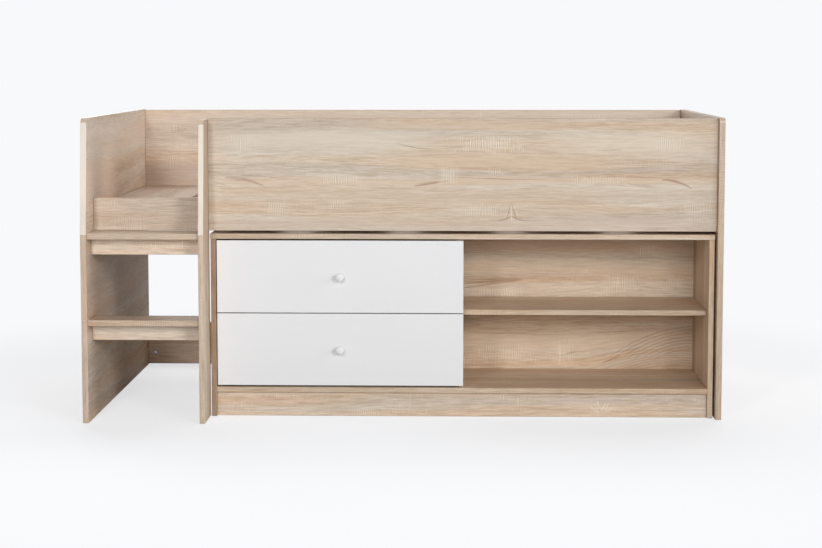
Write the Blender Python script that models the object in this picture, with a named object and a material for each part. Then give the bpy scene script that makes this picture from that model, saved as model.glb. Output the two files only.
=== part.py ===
"""Storage cabin bed: a low single bed with a two-step ladder, over a free-standing chest with two drawers
and a shelf bay. Metres, +Z up. The origin is on the floor under the middle of the bed; -Y is the front."""

import math

import bmesh
import bpy
from mathutils import Vector

# Mattress and the space round it
MATTRESS_LENGTH = 1.900
MATTRESS_WIDTH = 0.900
LENGTH_CLEARANCE = 0.020
WIDTH_CLEARANCE = 0.010

# Boards of the bed frame
END_THICKNESS = 0.018
GUARD_THICKNESS = 0.018
TREAD_THICKNESS = 0.018
RAIL_THICKNESS = 0.018
UPRIGHT_THICKNESS = 0.016
END_HEIGHT = 0.930
GUARD_LOW = 0.581
GUARD_BELOW_END_TOP = 0.002
END_BEHIND_REAR_GUARD = 0.016
FRONT_GUARD_SET_BACK = 0.020
TOP_REAR_CORNER_RADIUS = 0.020
TOP_FRONT_CORNER_RADIUS = 0.013

# Ladder
LADDER_WIDTH = 0.340
LADDER_PROJECTION = 0.098
RAKE_SET_BACK = 0.034
RAKE_START = 0.578
RAKE_CORNER_RADIUS = 0.020
UPRIGHT_BELOW_END_TOP = 0.006
UPRIGHT_REAR_RADIUS = 0.003
TREAD_UPPER_TOP = 0.581
TREAD_LOWER_TOP = 0.316
TREAD_SET_BACK = 0.010
TREAD_FROM_ENTRY_RAIL = 0.004
RISER_HEIGHT = 0.052
RISER_SET_BACK = 0.072
ENTRY_RAIL_HEIGHT = 0.101

# Rail low at the back, with the fittings at its ends
REAR_RAIL_LOW = 0.003
REAR_RAIL_HEIGHT = 0.152
CAM_RADIUS = 0.0075
CAM_DEPTH = 0.0125
CAM_FROM_END = 0.0245
CAM_FROM_EDGE = 0.039
BOLT_RADIUS = 0.003
BOLT_HOLE_GAP = 0.0006
BOLT_IN_END = 0.011
CAM_BORE_END_GAP = 0.0005

# Mattress base
BASE_TOP = 0.656
LEDGER_HEIGHT = 0.034
LEDGER_DEPTH = 0.024
BASE_BOARD_COUNT = 6
BASE_BOARD_WIDTH = 0.245
BASE_BOARD_THICKNESS = 0.015
BASE_BOARD_FROM_PANEL = 0.0042
BASE_BOARD_END_GAP = 0.003

# Chest
CHEST_BOARD = 0.016
CHEST_BELOW_GUARD = 0.010
CHEST_DEPTH = 0.372
CHEST_FRONT_BEHIND_GUARD = 0.004
CHEST_FROM_UPRIGHT = 0.005
CHEST_FROM_END = 0.006
CHEST_TOP_OVERHANG = 0.0015
PLINTH_HEIGHT = 0.076
PLINTH_SET_BACK = 0.012
REAR_PLINTH_FROM_BACK = 0.008
BACK_THICKNESS = 0.003
BACK_FROM_REAR = 0.010
BACK_GROOVE_DEPTH = 0.006
GROOVE_GAP = 0.0004
GROOVE_END_GAP = 0.001
DIVIDER_SET_BACK = 0.018
DIVIDER_FROM_BACK = 0.001
DRAWER_BAY_WIDTH = 0.7485
LOWER_BAY_HEIGHT = 0.223
SHELF_SET_BACK = 0.041
SHELF_FROM_COLLAR = 0.0004
SHELF_FROM_BACK = 0.002

# Shelf pins
PIN_RADIUS = 0.0025
PIN_IN_BOARD = 0.009
PIN_END_GAP = 0.0005
PIN_COLLAR_WIDTH = 0.002
PIN_COLLAR_LENGTH = 0.0008
PIN_REACH = 0.009
PIN_FROM_SHELF_EDGE = 0.050

# Drawers
FRONT_THICKNESS = 0.016
FRONT_SIDE_GAP = 0.003
FRONT_PAST_DIVIDER = 0.0015
FRONT_TOP_GAP = 0.005
FRONT_BOTTOM_GAP = 0.006
FRONT_MIDDLE_GAP = 0.003
FRONT_RECESS = 0.0005
BOX_SIDE_THICKNESS = 0.015
BOX_BACK_THICKNESS = 0.012
BOX_SIDE_GAP = 0.0012
BOX_ABOVE_FRONT_FOOT = 0.015
BOX_BELOW_FRONT_TOP = 0.0595
BOX_FROM_BACK_PANEL = 0.0125
BOX_BOTTOM_THICKNESS = 0.003
BOX_BOTTOM_ABOVE_FOOT = 0.010
BOX_GROOVE_DEPTH = 0.006
BOX_BACK_FROM_END = 0.012
FRONT_GROOVE_DEPTH = 0.005

# Runner strips and the grooves that slide on them
RUNNER_HEIGHT = 0.012
RUNNER_REACH = 0.008
RUNNER_SET_BACK = 0.029
RUNNER_FROM_BACK_PANEL = 0.007
RUNNER_GROOVE_GAP = 0.0005
RUNNER_GROOVE_END_GAP = 0.001
RUNNER_FACE_GAP = 0.0007

# Knobs and their screws
KNOB_RADIUS = 0.013
KNOB_FOOT_RADIUS = 0.008
KNOB_NECK_RADIUS = 0.0058
KNOB_PROJECTION = 0.024
KNOB_FOOT_LENGTH = 0.003
KNOB_HEAD_LENGTH = 0.012
KNOB_CROWN_LENGTH = 0.004
KNOB_BORE_DEPTH = 0.013
SCREW_RADIUS = 0.002
SCREW_BORE_GAP = 0.0004
SCREW_HEAD_RADIUS = 0.0042
SCREW_HEAD_LENGTH = 0.0024
SCREW_CROWN_RADIUS = 0.0025
SCREW_RIM_LENGTH = 0.0008
SCREW_END_GAP = 0.001
SCREW_HEAD_GAP = 0.0003

# Shared small sizes
SEAT_GAP = 0.0003
EDGE_EASE = 0.0006
THIN_EASE = 0.0003
CUT_OVERRUN = 0.004
WELD_DISTANCE = 0.00001
ROUND_SIDES = 20
CORNER_STEPS = 7

# The bed's widths and depths, worked out from the sizes above
INNER_LENGTH = MATTRESS_LENGTH + LENGTH_CLEARANCE
INNER_WIDTH = MATTRESS_WIDTH + WIDTH_CLEARANCE
INNER_RIGHT = INNER_LENGTH / 2
INNER_LEFT = -INNER_RIGHT
GUARD_FROM_FRONT = LADDER_PROJECTION + FRONT_GUARD_SET_BACK
REAR_GUARD_FROM_FRONT = GUARD_FROM_FRONT + GUARD_THICKNESS + INNER_WIDTH
OVERALL_DEPTH = REAR_GUARD_FROM_FRONT + GUARD_THICKNESS + END_BEHIND_REAR_GUARD
FRONT = -OVERALL_DEPTH / 2
REAR = FRONT + OVERALL_DEPTH
RIGHT_END_FRONT = FRONT + LADDER_PROJECTION
GUARD_FRONT = FRONT + GUARD_FROM_FRONT
GUARD_BACK = GUARD_FRONT + GUARD_THICKNESS
REAR_GUARD_FRONT = FRONT + REAR_GUARD_FROM_FRONT
GUARD_TOP = END_HEIGHT - GUARD_BELOW_END_TOP
UPRIGHT_TOP = END_HEIGHT - UPRIGHT_BELOW_END_TOP
BASE_BOARD_LOW = BASE_TOP - BASE_BOARD_THICKNESS
LEDGER_TOP = BASE_BOARD_LOW - SEAT_GAP
UPRIGHT_LEFT = INNER_LEFT + LADDER_WIDTH
UPRIGHT_RIGHT = UPRIGHT_LEFT + UPRIGHT_THICKNESS

# The chest's places
CHEST_LEFT = UPRIGHT_RIGHT + CHEST_FROM_UPRIGHT
CHEST_RIGHT = INNER_RIGHT - CHEST_FROM_END
CHEST_FRONT = GUARD_FRONT + CHEST_FRONT_BEHIND_GUARD
CHEST_REAR = CHEST_FRONT + CHEST_DEPTH
CHEST_HEIGHT = GUARD_LOW - CHEST_BELOW_GUARD
CHEST_INNER_LEFT = CHEST_LEFT + CHEST_BOARD
CHEST_INNER_RIGHT = CHEST_RIGHT - CHEST_BOARD
CHEST_TOP_LOW = CHEST_HEIGHT - CHEST_BOARD
CHEST_FLOOR = PLINTH_HEIGHT + CHEST_BOARD
BACK_REAR = CHEST_REAR - BACK_FROM_REAR
BACK_FRONT = BACK_REAR - BACK_THICKNESS
BACK_IN_GROOVE = BACK_GROOVE_DEPTH - GROOVE_END_GAP
DIVIDER_LEFT = CHEST_INNER_LEFT + DRAWER_BAY_WIDTH
DIVIDER_RIGHT = DIVIDER_LEFT + CHEST_BOARD
DIVIDER_FRONT = CHEST_FRONT + DIVIDER_SET_BACK
SHELF_LOW = CHEST_FLOOR + LOWER_BAY_HEIGHT
SHELF_TOP = SHELF_LOW + CHEST_BOARD
SHELF_FRONT = CHEST_FRONT + SHELF_SET_BACK
SHELF_REAR = BACK_FRONT - SHELF_FROM_BACK
SHELF_END_GAP = SEAT_GAP + PIN_COLLAR_LENGTH + SHELF_FROM_COLLAR

# The drawers' places
FRONT_LEFT = CHEST_INNER_LEFT + FRONT_SIDE_GAP
FRONT_RIGHT = DIVIDER_RIGHT + FRONT_PAST_DIVIDER
FRONTS_LOW = CHEST_FLOOR + FRONT_BOTTOM_GAP
FRONTS_HIGH = CHEST_TOP_LOW - FRONT_TOP_GAP
FRONT_HEIGHT = (FRONTS_HIGH - FRONTS_LOW - FRONT_MIDDLE_GAP) / 2
FRONT_FACE = CHEST_FRONT + FRONT_RECESS
FRONT_INSIDE = FRONT_FACE + FRONT_THICKNESS
BOX_LEFT = CHEST_INNER_LEFT + BOX_SIDE_GAP
BOX_RIGHT = DIVIDER_LEFT - BOX_SIDE_GAP
BOX_REAR = BACK_FRONT - BOX_FROM_BACK_PANEL
BOX_HEIGHT = FRONT_HEIGHT - BOX_ABOVE_FRONT_FOOT - BOX_BELOW_FRONT_TOP
BOX_BOTTOM_IN_GROOVE = BOX_GROOVE_DEPTH - GROOVE_END_GAP
FRONT_BOTTOM_IN_GROOVE = FRONT_GROOVE_DEPTH - GROOVE_END_GAP
SCREW_BORE_RADIUS = SCREW_RADIUS + SCREW_BORE_GAP
RUNNER_GROOVE_DEPTH = RUNNER_REACH - BOX_SIDE_GAP + RUNNER_FACE_GAP
RUNNER_FRONT = DIVIDER_FRONT + RUNNER_SET_BACK
RUNNER_REAR = BACK_FRONT - RUNNER_FROM_BACK_PANEL
DRAWER_LOWS = {"lower": FRONTS_LOW, "upper": FRONTS_LOW + FRONT_HEIGHT + FRONT_MIDDLE_GAP}


def clear_scene():
    for obj in list(bpy.data.objects):
        bpy.data.objects.remove(obj, do_unlink=True)


# Materials

def finish(name, color, roughness, metallic=0.0):
    """A plain Principled material for one piece."""
    material = bpy.data.materials.new(name)
    material.use_nodes = True
    shader = material.node_tree.nodes["Principled BSDF"]
    shader.inputs["Base Color"].default_value = (*color, 1)
    shader.inputs["Roughness"].default_value = roughness
    shader.inputs["Metallic"].default_value = metallic
    return material


def oak(name):
    return finish(name + "_oak", (0.65, 0.54, 0.41), 0.5)


def white_board(name):
    return finish(name + "_white", (0.79, 0.79, 0.79), 0.4)


def raw_pine(name):
    return finish(name + "_pine", (0.70, 0.55, 0.36), 0.7)


def white_plastic(name):
    return finish(name + "_plastic", (0.82, 0.82, 0.83), 0.35)


def zinc(name):
    return finish(name + "_zinc", (0.50, 0.54, 0.62), 0.35, 1.0)


# Shapes

def world_place(obj):
    """Where an object sits in the world, through parents that are never turned."""
    place = Vector(obj.location)
    if obj.parent:
        place += world_place(obj.parent)
    return place


def anchor(name, place, parent=None):
    empty = bpy.data.objects.new(name, None)
    bpy.context.scene.collection.objects.link(empty)
    empty.location = place
    if parent:
        empty.parent = parent
        empty.location = Vector(place) - world_place(parent)
    return empty


def add_object(name, mesh, place, material, parent):
    """A named object at a world place, under its parent empty."""
    obj = bpy.data.objects.new(name, mesh)
    bpy.context.scene.collection.objects.link(obj)
    obj.parent = parent
    obj.location = Vector(place) - world_place(parent)
    mesh.materials.append(material)
    return obj


def ease_edges(obj, width):
    bevel = obj.modifiers.new("eased_edges", "BEVEL")
    bevel.width = width
    bevel.segments = 1
    bevel.limit_method = "ANGLE"


def box_mesh(name, size):
    mesh = bpy.data.meshes.new(name)
    work = bmesh.new()
    bmesh.ops.create_cube(work, size=1)
    bmesh.ops.scale(work, vec=Vector(size), verts=work.verts)
    work.to_mesh(mesh)
    work.free()
    return mesh


def board(name, low, high, material, parent, ease=EDGE_EASE):
    """A flat board between two opposite corners, with its origin in its middle."""
    low = Vector(low)
    high = Vector(high)
    mesh = box_mesh(name, high - low)
    obj = add_object(name, mesh, (low + high) / 2, material, parent)
    ease_edges(obj, ease)
    return obj


def rounded_corner(before, corner, after, radius):
    """Points of an arc that rounds one corner of an outline."""
    to_before = (before - corner).normalized()
    to_after = (after - corner).normalized()
    half_angle = to_before.angle(to_after) / 2
    centre = corner + (to_before + to_after).normalized() * (radius / math.sin(half_angle))
    reach = radius / math.tan(half_angle)
    start = (corner + to_before * reach - centre).normalized()
    end = (corner + to_after * reach - centre).normalized()
    return [centre + start.slerp(end, step / CORNER_STEPS) * radius for step in range(CORNER_STEPS + 1)]


def outline_points(corners):
    """The outline's points, where a corner is (y, z, radius) and radius 0 leaves it sharp."""
    places = [Vector((y, z)) for y, z, _ in corners]
    points = []
    for i, (_, _, radius) in enumerate(corners):
        after = places[(i + 1) % len(places)]
        if radius:
            points += rounded_corner(places[i - 1], places[i], after, radius)
        else:
            points.append(places[i])
    return points


def side_board(name, left, thickness, corners, material, parent):
    """An upright board that faces sideways, extruded from its outline in Y and Z."""
    mesh = bpy.data.meshes.new(name)
    work = bmesh.new()
    rim = [work.verts.new((0, point.x - FRONT, point.y)) for point in outline_points(corners)]
    face = work.faces.new(rim)
    pushed = bmesh.ops.extrude_face_region(work, geom=[face])
    moved = [item for item in pushed["geom"] if isinstance(item, bmesh.types.BMVert)]
    bmesh.ops.translate(work, vec=Vector((thickness, 0, 0)), verts=moved)
    bmesh.ops.recalc_face_normals(work, faces=work.faces)
    work.to_mesh(mesh)
    work.free()
    obj = add_object(name, mesh, (left, FRONT, 0), material, parent)
    ease_edges(obj, EDGE_EASE)
    return obj


def turned(name, profile, start, direction, material, parent):
    """A round piece from (radius, distance) points, turned about the axis from start along direction."""
    mesh = bpy.data.meshes.new(name)
    work = bmesh.new()
    chain = [work.verts.new((radius, 0, distance)) for radius, distance in profile]
    for first, second in zip(chain, chain[1:]):
        work.edges.new((first, second))
    bmesh.ops.spin(
        work,
        geom=list(work.verts) + list(work.edges),
        cent=(0, 0, 0),
        axis=(0, 0, 1),
        angle=math.tau,
        steps=ROUND_SIDES,
        use_merge=True,
    )
    bmesh.ops.remove_doubles(work, verts=work.verts, dist=WELD_DISTANCE)
    bmesh.ops.recalc_face_normals(work, faces=work.faces)
    work.to_mesh(mesh)
    work.free()
    mesh.shade_smooth()
    mesh.set_sharp_from_angle(angle=math.radians(35))
    obj = add_object(name, mesh, start, material, parent)
    obj.rotation_mode = "QUATERNION"
    obj.rotation_quaternion = Vector((0, 0, 1)).rotation_difference(Vector(direction))
    return obj


def rod_profile(radius, length):
    return [(0, 0), (radius, 0), (radius, length), (0, length)]


def subtract(obj, cutter):
    """Cuts one shape out of another. The cutter stays as a guide that no render shows."""
    cutter.hide_render = True
    cutter.display_type = "WIRE"
    cut = obj.modifiers.new("cut_" + cutter.name, "BOOLEAN")
    cut.operation = "DIFFERENCE"
    cut.solver = "EXACT"
    cut.object = cutter


def cut_box(obj, name, low, high, parent):
    low = Vector(low)
    high = Vector(high)
    mesh = box_mesh(name, high - low)
    cutter = add_object(name, mesh, (low + high) / 2, obj.data.materials[0], parent)
    subtract(obj, cutter)


def cut_round(obj, name, radius, length, start, direction, parent):
    """A round hole whose inner end is at start, and which runs out past the surface along direction."""
    cutter = turned(name, rod_profile(radius, length), start, direction, obj.data.materials[0], parent)
    subtract(obj, cutter)


# Bed frame

def make_end_panel_left(bed):
    """The taller side of the ladder, raked back above the upper tread."""
    corners = [
        (FRONT, 0, 0),
        (REAR, 0, 0),
        (REAR, END_HEIGHT, TOP_REAR_CORNER_RADIUS),
        (FRONT + RAKE_SET_BACK, END_HEIGHT, RAKE_CORNER_RADIUS),
        (FRONT, RAKE_START, 0),
    ]
    name = "end_panel_left"
    return side_board(name, INNER_LEFT - END_THICKNESS, END_THICKNESS, corners, oak(name), bed)


def make_end_panel_right(bed):
    corners = [
        (RIGHT_END_FRONT, 0, 0),
        (REAR, 0, 0),
        (REAR, END_HEIGHT, TOP_REAR_CORNER_RADIUS),
        (RIGHT_END_FRONT, END_HEIGHT, TOP_FRONT_CORNER_RADIUS),
    ]
    name = "end_panel_right"
    return side_board(name, INNER_RIGHT, END_THICKNESS, corners, oak(name), bed)


def make_guards(bed):
    """The two long panels that hold the mattress in, the front one from the ladder's upright on."""
    places = {"front": (UPRIGHT_RIGHT, GUARD_FRONT), "rear": (INNER_LEFT, REAR_GUARD_FRONT)}
    for place, (left, front) in places.items():
        name = "guard_panel_" + place
        board(
            name,
            (left + SEAT_GAP, front, GUARD_LOW),
            (INNER_RIGHT - SEAT_GAP, front + GUARD_THICKNESS, GUARD_TOP),
            oak(name),
            bed,
        )


def make_ladder_upright(bed):
    corners = [
        (FRONT, 0, 0),
        (GUARD_BACK, 0, 0),
        (GUARD_BACK, UPRIGHT_TOP, UPRIGHT_REAR_RADIUS),
        (FRONT + RAKE_SET_BACK, UPRIGHT_TOP, RAKE_CORNER_RADIUS),
        (FRONT, RAKE_START, 0),
    ]
    side_board("ladder_upright", UPRIGHT_LEFT, UPRIGHT_THICKNESS, corners, oak("ladder_upright"), bed)


def make_step(bed, level, top):
    """A tread and the stiffening rail right under it."""
    left = INNER_LEFT + SEAT_GAP
    right = UPRIGHT_LEFT - SEAT_GAP
    tread_low = top - TREAD_THICKNESS
    tread_rear = GUARD_FRONT - TREAD_FROM_ENTRY_RAIL
    riser_top = tread_low - SEAT_GAP
    riser_front = FRONT + RISER_SET_BACK
    name = "tread_" + level
    board(name, (left, FRONT + TREAD_SET_BACK, tread_low), (right, tread_rear, top), oak(name), bed)
    name = "riser_rail_" + level
    board(
        name,
        (left, riser_front, riser_top - RISER_HEIGHT),
        (right, riser_front + RAIL_THICKNESS, riser_top),
        oak(name),
        bed,
    )


def make_entry_rail(bed):
    """The low rail that one climbs over to get in."""
    board(
        "entry_rail",
        (INNER_LEFT + SEAT_GAP, GUARD_FRONT, GUARD_LOW),
        (UPRIGHT_LEFT - SEAT_GAP, GUARD_BACK, GUARD_LOW + ENTRY_RAIL_HEIGHT),
        oak("entry_rail"),
        bed,
    )


def make_rear_rail(bed, panels):
    """The low rail at the back, drawn to each end panel by two cams and bolts."""
    rail = board(
        "rear_lower_rail",
        (INNER_LEFT + SEAT_GAP, REAR - RAIL_THICKNESS, REAR_RAIL_LOW),
        (INNER_RIGHT - SEAT_GAP, REAR, REAR_RAIL_LOW + REAR_RAIL_HEIGHT),
        oak("rear_lower_rail"),
        bed,
    )
    heights = {
        "lower": REAR_RAIL_LOW + CAM_FROM_EDGE,
        "upper": REAR_RAIL_LOW + REAR_RAIL_HEIGHT - CAM_FROM_EDGE,
    }
    ends = {"left": (INNER_LEFT, 1), "right": (INNER_RIGHT, -1)}
    for side, (inner, inward) in ends.items():
        for level, z in heights.items():
            tag = side + "_" + level
            make_cam(bed, rail, tag, inner + inward * CAM_FROM_END, z)
            make_bolt(bed, rail, panels[side], tag, inner, inward, z)


def make_cam(bed, rail, tag, x, z):
    """A disc in its blind bore, flush with the rail's inner face."""
    face = REAR - RAIL_THICKNESS
    bore = CAM_DEPTH + CAM_BORE_END_GAP
    out = (0, -1, 0)
    start = (x, face + bore, z)
    cut_round(rail, "cam_bore_" + tag, CAM_RADIUS + SEAT_GAP, bore + CUT_OVERRUN, start, out, bed)
    name = "rear_rail_cam_" + tag
    turned(name, rod_profile(CAM_RADIUS, CAM_DEPTH), (x, face + CAM_DEPTH, z), out, zinc(name), bed)


def make_bolt(bed, rail, panel, tag, inner, inward, z):
    """A bolt that is fixed in the end panel and reaches through the rail's end to the cam."""
    y = REAR - RAIL_THICKNESS / 2
    into_rail = (inward, 0, 0)
    out_of_rail = (-inward, 0, 0)
    cut_round(
        rail,
        "bolt_bore_" + tag,
        BOLT_RADIUS + BOLT_HOLE_GAP,
        CAM_FROM_END + CUT_OVERRUN,
        (inner + inward * CAM_FROM_END, y, z),
        out_of_rail,
        bed,
    )
    socket = BOLT_IN_END + SEAT_GAP
    cut_round(
        panel,
        "bolt_socket_" + tag,
        BOLT_RADIUS + SEAT_GAP,
        socket + CUT_OVERRUN,
        (inner - inward * socket, y, z),
        into_rail,
        bed,
    )
    name = "rear_rail_bolt_" + tag
    length = BOLT_IN_END + CAM_FROM_END - CAM_RADIUS - SEAT_GAP
    turned(
        name,
        rod_profile(BOLT_RADIUS, length),
        (inner - inward * BOLT_IN_END, y, z),
        into_rail,
        zinc(name),
        bed,
    )


def make_ledgers(bed):
    """The battens inside the guards."""
    fronts = {"front": GUARD_BACK + SEAT_GAP, "rear": REAR_GUARD_FRONT - SEAT_GAP - LEDGER_DEPTH}
    for place, front in fronts.items():
        name = "slat_ledger_" + place
        board(
            name,
            (INNER_LEFT + SEAT_GAP, front, LEDGER_TOP - LEDGER_HEIGHT),
            (INNER_RIGHT - SEAT_GAP, front + LEDGER_DEPTH, LEDGER_TOP),
            raw_pine(name),
            bed,
        )


def make_base_boards(bed):
    """The boards across the ledgers, spread evenly from one end panel to the other."""
    first = INNER_LEFT + BASE_BOARD_FROM_PANEL
    last = INNER_RIGHT - BASE_BOARD_FROM_PANEL - BASE_BOARD_WIDTH
    pitch = (last - first) / (BASE_BOARD_COUNT - 1)
    for number in range(BASE_BOARD_COUNT):
        name = f"base_board_{number + 1}"
        left = first + number * pitch
        board(
            name,
            (left, GUARD_BACK + BASE_BOARD_END_GAP, BASE_BOARD_LOW),
            (left + BASE_BOARD_WIDTH, REAR_GUARD_FRONT - BASE_BOARD_END_GAP, BASE_TOP),
            oak(name),
            bed,
        )


# Chest

def cut_back_groove(obj, name, left, low, right, high, chest):
    """Cuts the slot that holds an edge of the back panel."""
    front = BACK_FRONT - GROOVE_GAP
    rear = BACK_REAR + GROOVE_GAP
    cut_box(obj, name, (left, front, low), (right, rear, high), chest)


def make_chest_top(chest):
    top = board(
        "chest_top",
        (CHEST_LEFT - CHEST_TOP_OVERHANG, CHEST_FRONT, CHEST_TOP_LOW),
        (CHEST_RIGHT + CHEST_TOP_OVERHANG, CHEST_REAR, CHEST_HEIGHT),
        oak("chest_top"),
        chest,
    )
    left = CHEST_INNER_LEFT - BACK_GROOVE_DEPTH
    right = CHEST_INNER_RIGHT + BACK_GROOVE_DEPTH
    low = CHEST_TOP_LOW - CUT_OVERRUN
    cut_back_groove(top, "back_groove_top", left, low, right, CHEST_TOP_LOW + BACK_GROOVE_DEPTH, chest)


def make_chest_sides(chest):
    spans = {"left": (CHEST_LEFT, CHEST_INNER_LEFT), "right": (CHEST_INNER_RIGHT, CHEST_RIGHT)}
    grooves = {
        "left": (CHEST_INNER_LEFT - BACK_GROOVE_DEPTH, CHEST_INNER_LEFT + CUT_OVERRUN),
        "right": (CHEST_INNER_RIGHT - CUT_OVERRUN, CHEST_INNER_RIGHT + BACK_GROOVE_DEPTH),
    }
    sides = {}
    for side, (left, right) in spans.items():
        name = "chest_side_" + side
        low = (left, CHEST_FRONT, 0)
        high = (right, CHEST_REAR, CHEST_TOP_LOW - SEAT_GAP)
        sides[side] = board(name, low, high, oak(name), chest)
        start, end = grooves[side]
        cut_back_groove(sides[side], "back_groove_" + side, start, -CUT_OVERRUN, end, CHEST_HEIGHT, chest)
    return sides


def make_chest_bottom(chest):
    left = CHEST_INNER_LEFT + SEAT_GAP
    right = CHEST_INNER_RIGHT - SEAT_GAP
    low = (left, CHEST_FRONT, PLINTH_HEIGHT)
    high = (right, CHEST_REAR, CHEST_FLOOR)
    floor = board("chest_bottom", low, high, oak("chest_bottom"), chest)
    groove_low = CHEST_FLOOR - BACK_GROOVE_DEPTH
    groove_high = CHEST_FLOOR + CUT_OVERRUN
    cut_back_groove(floor, "back_groove_bottom", CHEST_LEFT, groove_low, CHEST_RIGHT, groove_high, chest)


def make_chest_plinths(chest):
    fronts = {
        "front": CHEST_FRONT + PLINTH_SET_BACK,
        "rear": CHEST_REAR - REAR_PLINTH_FROM_BACK - CHEST_BOARD,
    }
    for place, front in fronts.items():
        name = "chest_plinth_" + place
        low = (CHEST_INNER_LEFT + SEAT_GAP, front, 0)
        high = (CHEST_INNER_RIGHT - SEAT_GAP, front + CHEST_BOARD, PLINTH_HEIGHT - SEAT_GAP)
        board(name, low, high, oak(name), chest)


def make_chest_back(chest):
    """The thin panel that slides into the grooves of the sides, top and bottom."""
    low = (CHEST_INNER_LEFT - BACK_IN_GROOVE, BACK_FRONT, CHEST_FLOOR - BACK_IN_GROOVE)
    high = (CHEST_INNER_RIGHT + BACK_IN_GROOVE, BACK_REAR, CHEST_TOP_LOW + BACK_IN_GROOVE)
    board("chest_back", low, high, oak("chest_back"), chest, THIN_EASE)


def make_chest_divider(chest):
    """The upright board between the drawers and the open bay. The drawer fronts close over its front edge."""
    low = (DIVIDER_LEFT, DIVIDER_FRONT, CHEST_FLOOR + SEAT_GAP)
    high = (DIVIDER_RIGHT, BACK_FRONT - DIVIDER_FROM_BACK, CHEST_TOP_LOW - SEAT_GAP)
    return board("chest_divider", low, high, oak("chest_divider"), chest)


def make_shelf(chest):
    low = (DIVIDER_RIGHT + SHELF_END_GAP, SHELF_FRONT, SHELF_LOW)
    high = (CHEST_INNER_RIGHT - SHELF_END_GAP, SHELF_REAR, SHELF_TOP)
    board("chest_shelf", low, high, oak("chest_shelf"), chest)


def pin_profile():
    """A pin with a collar that stops against the board it plugs into."""
    collar_start = PIN_IN_BOARD + SEAT_GAP
    collar_end = collar_start + PIN_COLLAR_LENGTH
    collar_radius = PIN_RADIUS + PIN_COLLAR_WIDTH
    length = PIN_IN_BOARD + PIN_REACH
    return [
        (0, 0),
        (PIN_RADIUS, 0),
        (PIN_RADIUS, collar_start),
        (collar_radius, collar_start),
        (collar_radius, collar_end),
        (PIN_RADIUS, collar_end),
        (PIN_RADIUS, length),
        (0, length),
    ]


def make_shelf_pins(chest, divider, right_side):
    """The four pins right under the shelf, in blind holes of the divider and the chest's right side."""
    z = SHELF_LOW - SEAT_GAP - PIN_RADIUS
    hole = PIN_IN_BOARD + PIN_END_GAP
    ends = {"left": (DIVIDER_RIGHT, 1, divider), "right": (CHEST_INNER_RIGHT, -1, right_side)}
    places = {"front": SHELF_FRONT + PIN_FROM_SHELF_EDGE, "rear": SHELF_REAR - PIN_FROM_SHELF_EDGE}
    for side, (face, inward, carrier) in ends.items():
        along = (inward, 0, 0)
        for place, y in places.items():
            tag = place + "_" + side
            start = (face - inward * hole, y, z)
            radius = PIN_RADIUS + SEAT_GAP
            cut_round(carrier, "pin_hole_" + tag, radius, hole + CUT_OVERRUN, start, along, chest)
            name = "shelf_pin_" + tag
            turned(name, pin_profile(), (face - inward * PIN_IN_BOARD, y, z), along, zinc(name), chest)


def runner_middle(low):
    """The height of a drawer's runners, from the foot of its front."""
    return low + BOX_ABOVE_FRONT_FOOT + BOX_HEIGHT / 2


def make_runners(chest, level, low):
    """The two strips that a drawer's grooved sides slide on."""
    foot = runner_middle(low) - RUNNER_HEIGHT / 2
    spans = {
        "left": (CHEST_INNER_LEFT + SEAT_GAP, CHEST_INNER_LEFT + RUNNER_REACH),
        "right": (DIVIDER_LEFT - RUNNER_REACH, DIVIDER_LEFT - SEAT_GAP),
    }
    for side, (left, right) in spans.items():
        name = "runner_" + level + "_" + side
        high = (right, RUNNER_REAR, foot + RUNNER_HEIGHT)
        board(name, (left, RUNNER_FRONT, foot), high, white_plastic(name), chest)


# Drawers

def bottom_low(low):
    """The height of a drawer bottom's underside, from the foot of the drawer's front."""
    return low + BOX_ABOVE_FRONT_FOOT + BOX_BOTTOM_ABOVE_FOOT


def make_drawer_front(drawer, level, low):
    name = "drawer_" + level + "_front"
    high = (FRONT_RIGHT, FRONT_INSIDE, low + FRONT_HEIGHT)
    front = board(name, (FRONT_LEFT, FRONT_FACE, low), high, white_board(name), drawer)
    groove_low = bottom_low(low) - GROOVE_GAP
    groove_high = bottom_low(low) + BOX_BOTTOM_THICKNESS + GROOVE_GAP
    groove_front = FRONT_INSIDE - FRONT_GROOVE_DEPTH
    in_side = BOX_SIDE_THICKNESS - BOX_GROOVE_DEPTH
    cut_box(
        front,
        "front_groove_" + level,
        (BOX_LEFT + in_side, groove_front, groove_low),
        (BOX_RIGHT - in_side, FRONT_INSIDE + CUT_OVERRUN, groove_high),
        drawer,
    )
    return front


def cut_side_groove(side, name, face, inward, depth, front, low, high, drawer):
    """A groove along a drawer side, as deep as depth from its face, and open at the side's rear end."""
    deep = face + inward * depth
    past = face - inward * CUT_OVERRUN
    corner = (min(deep, past), front, low)
    cut_box(side, name, corner, (max(deep, past), BOX_REAR + CUT_OVERRUN, high), drawer)


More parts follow.
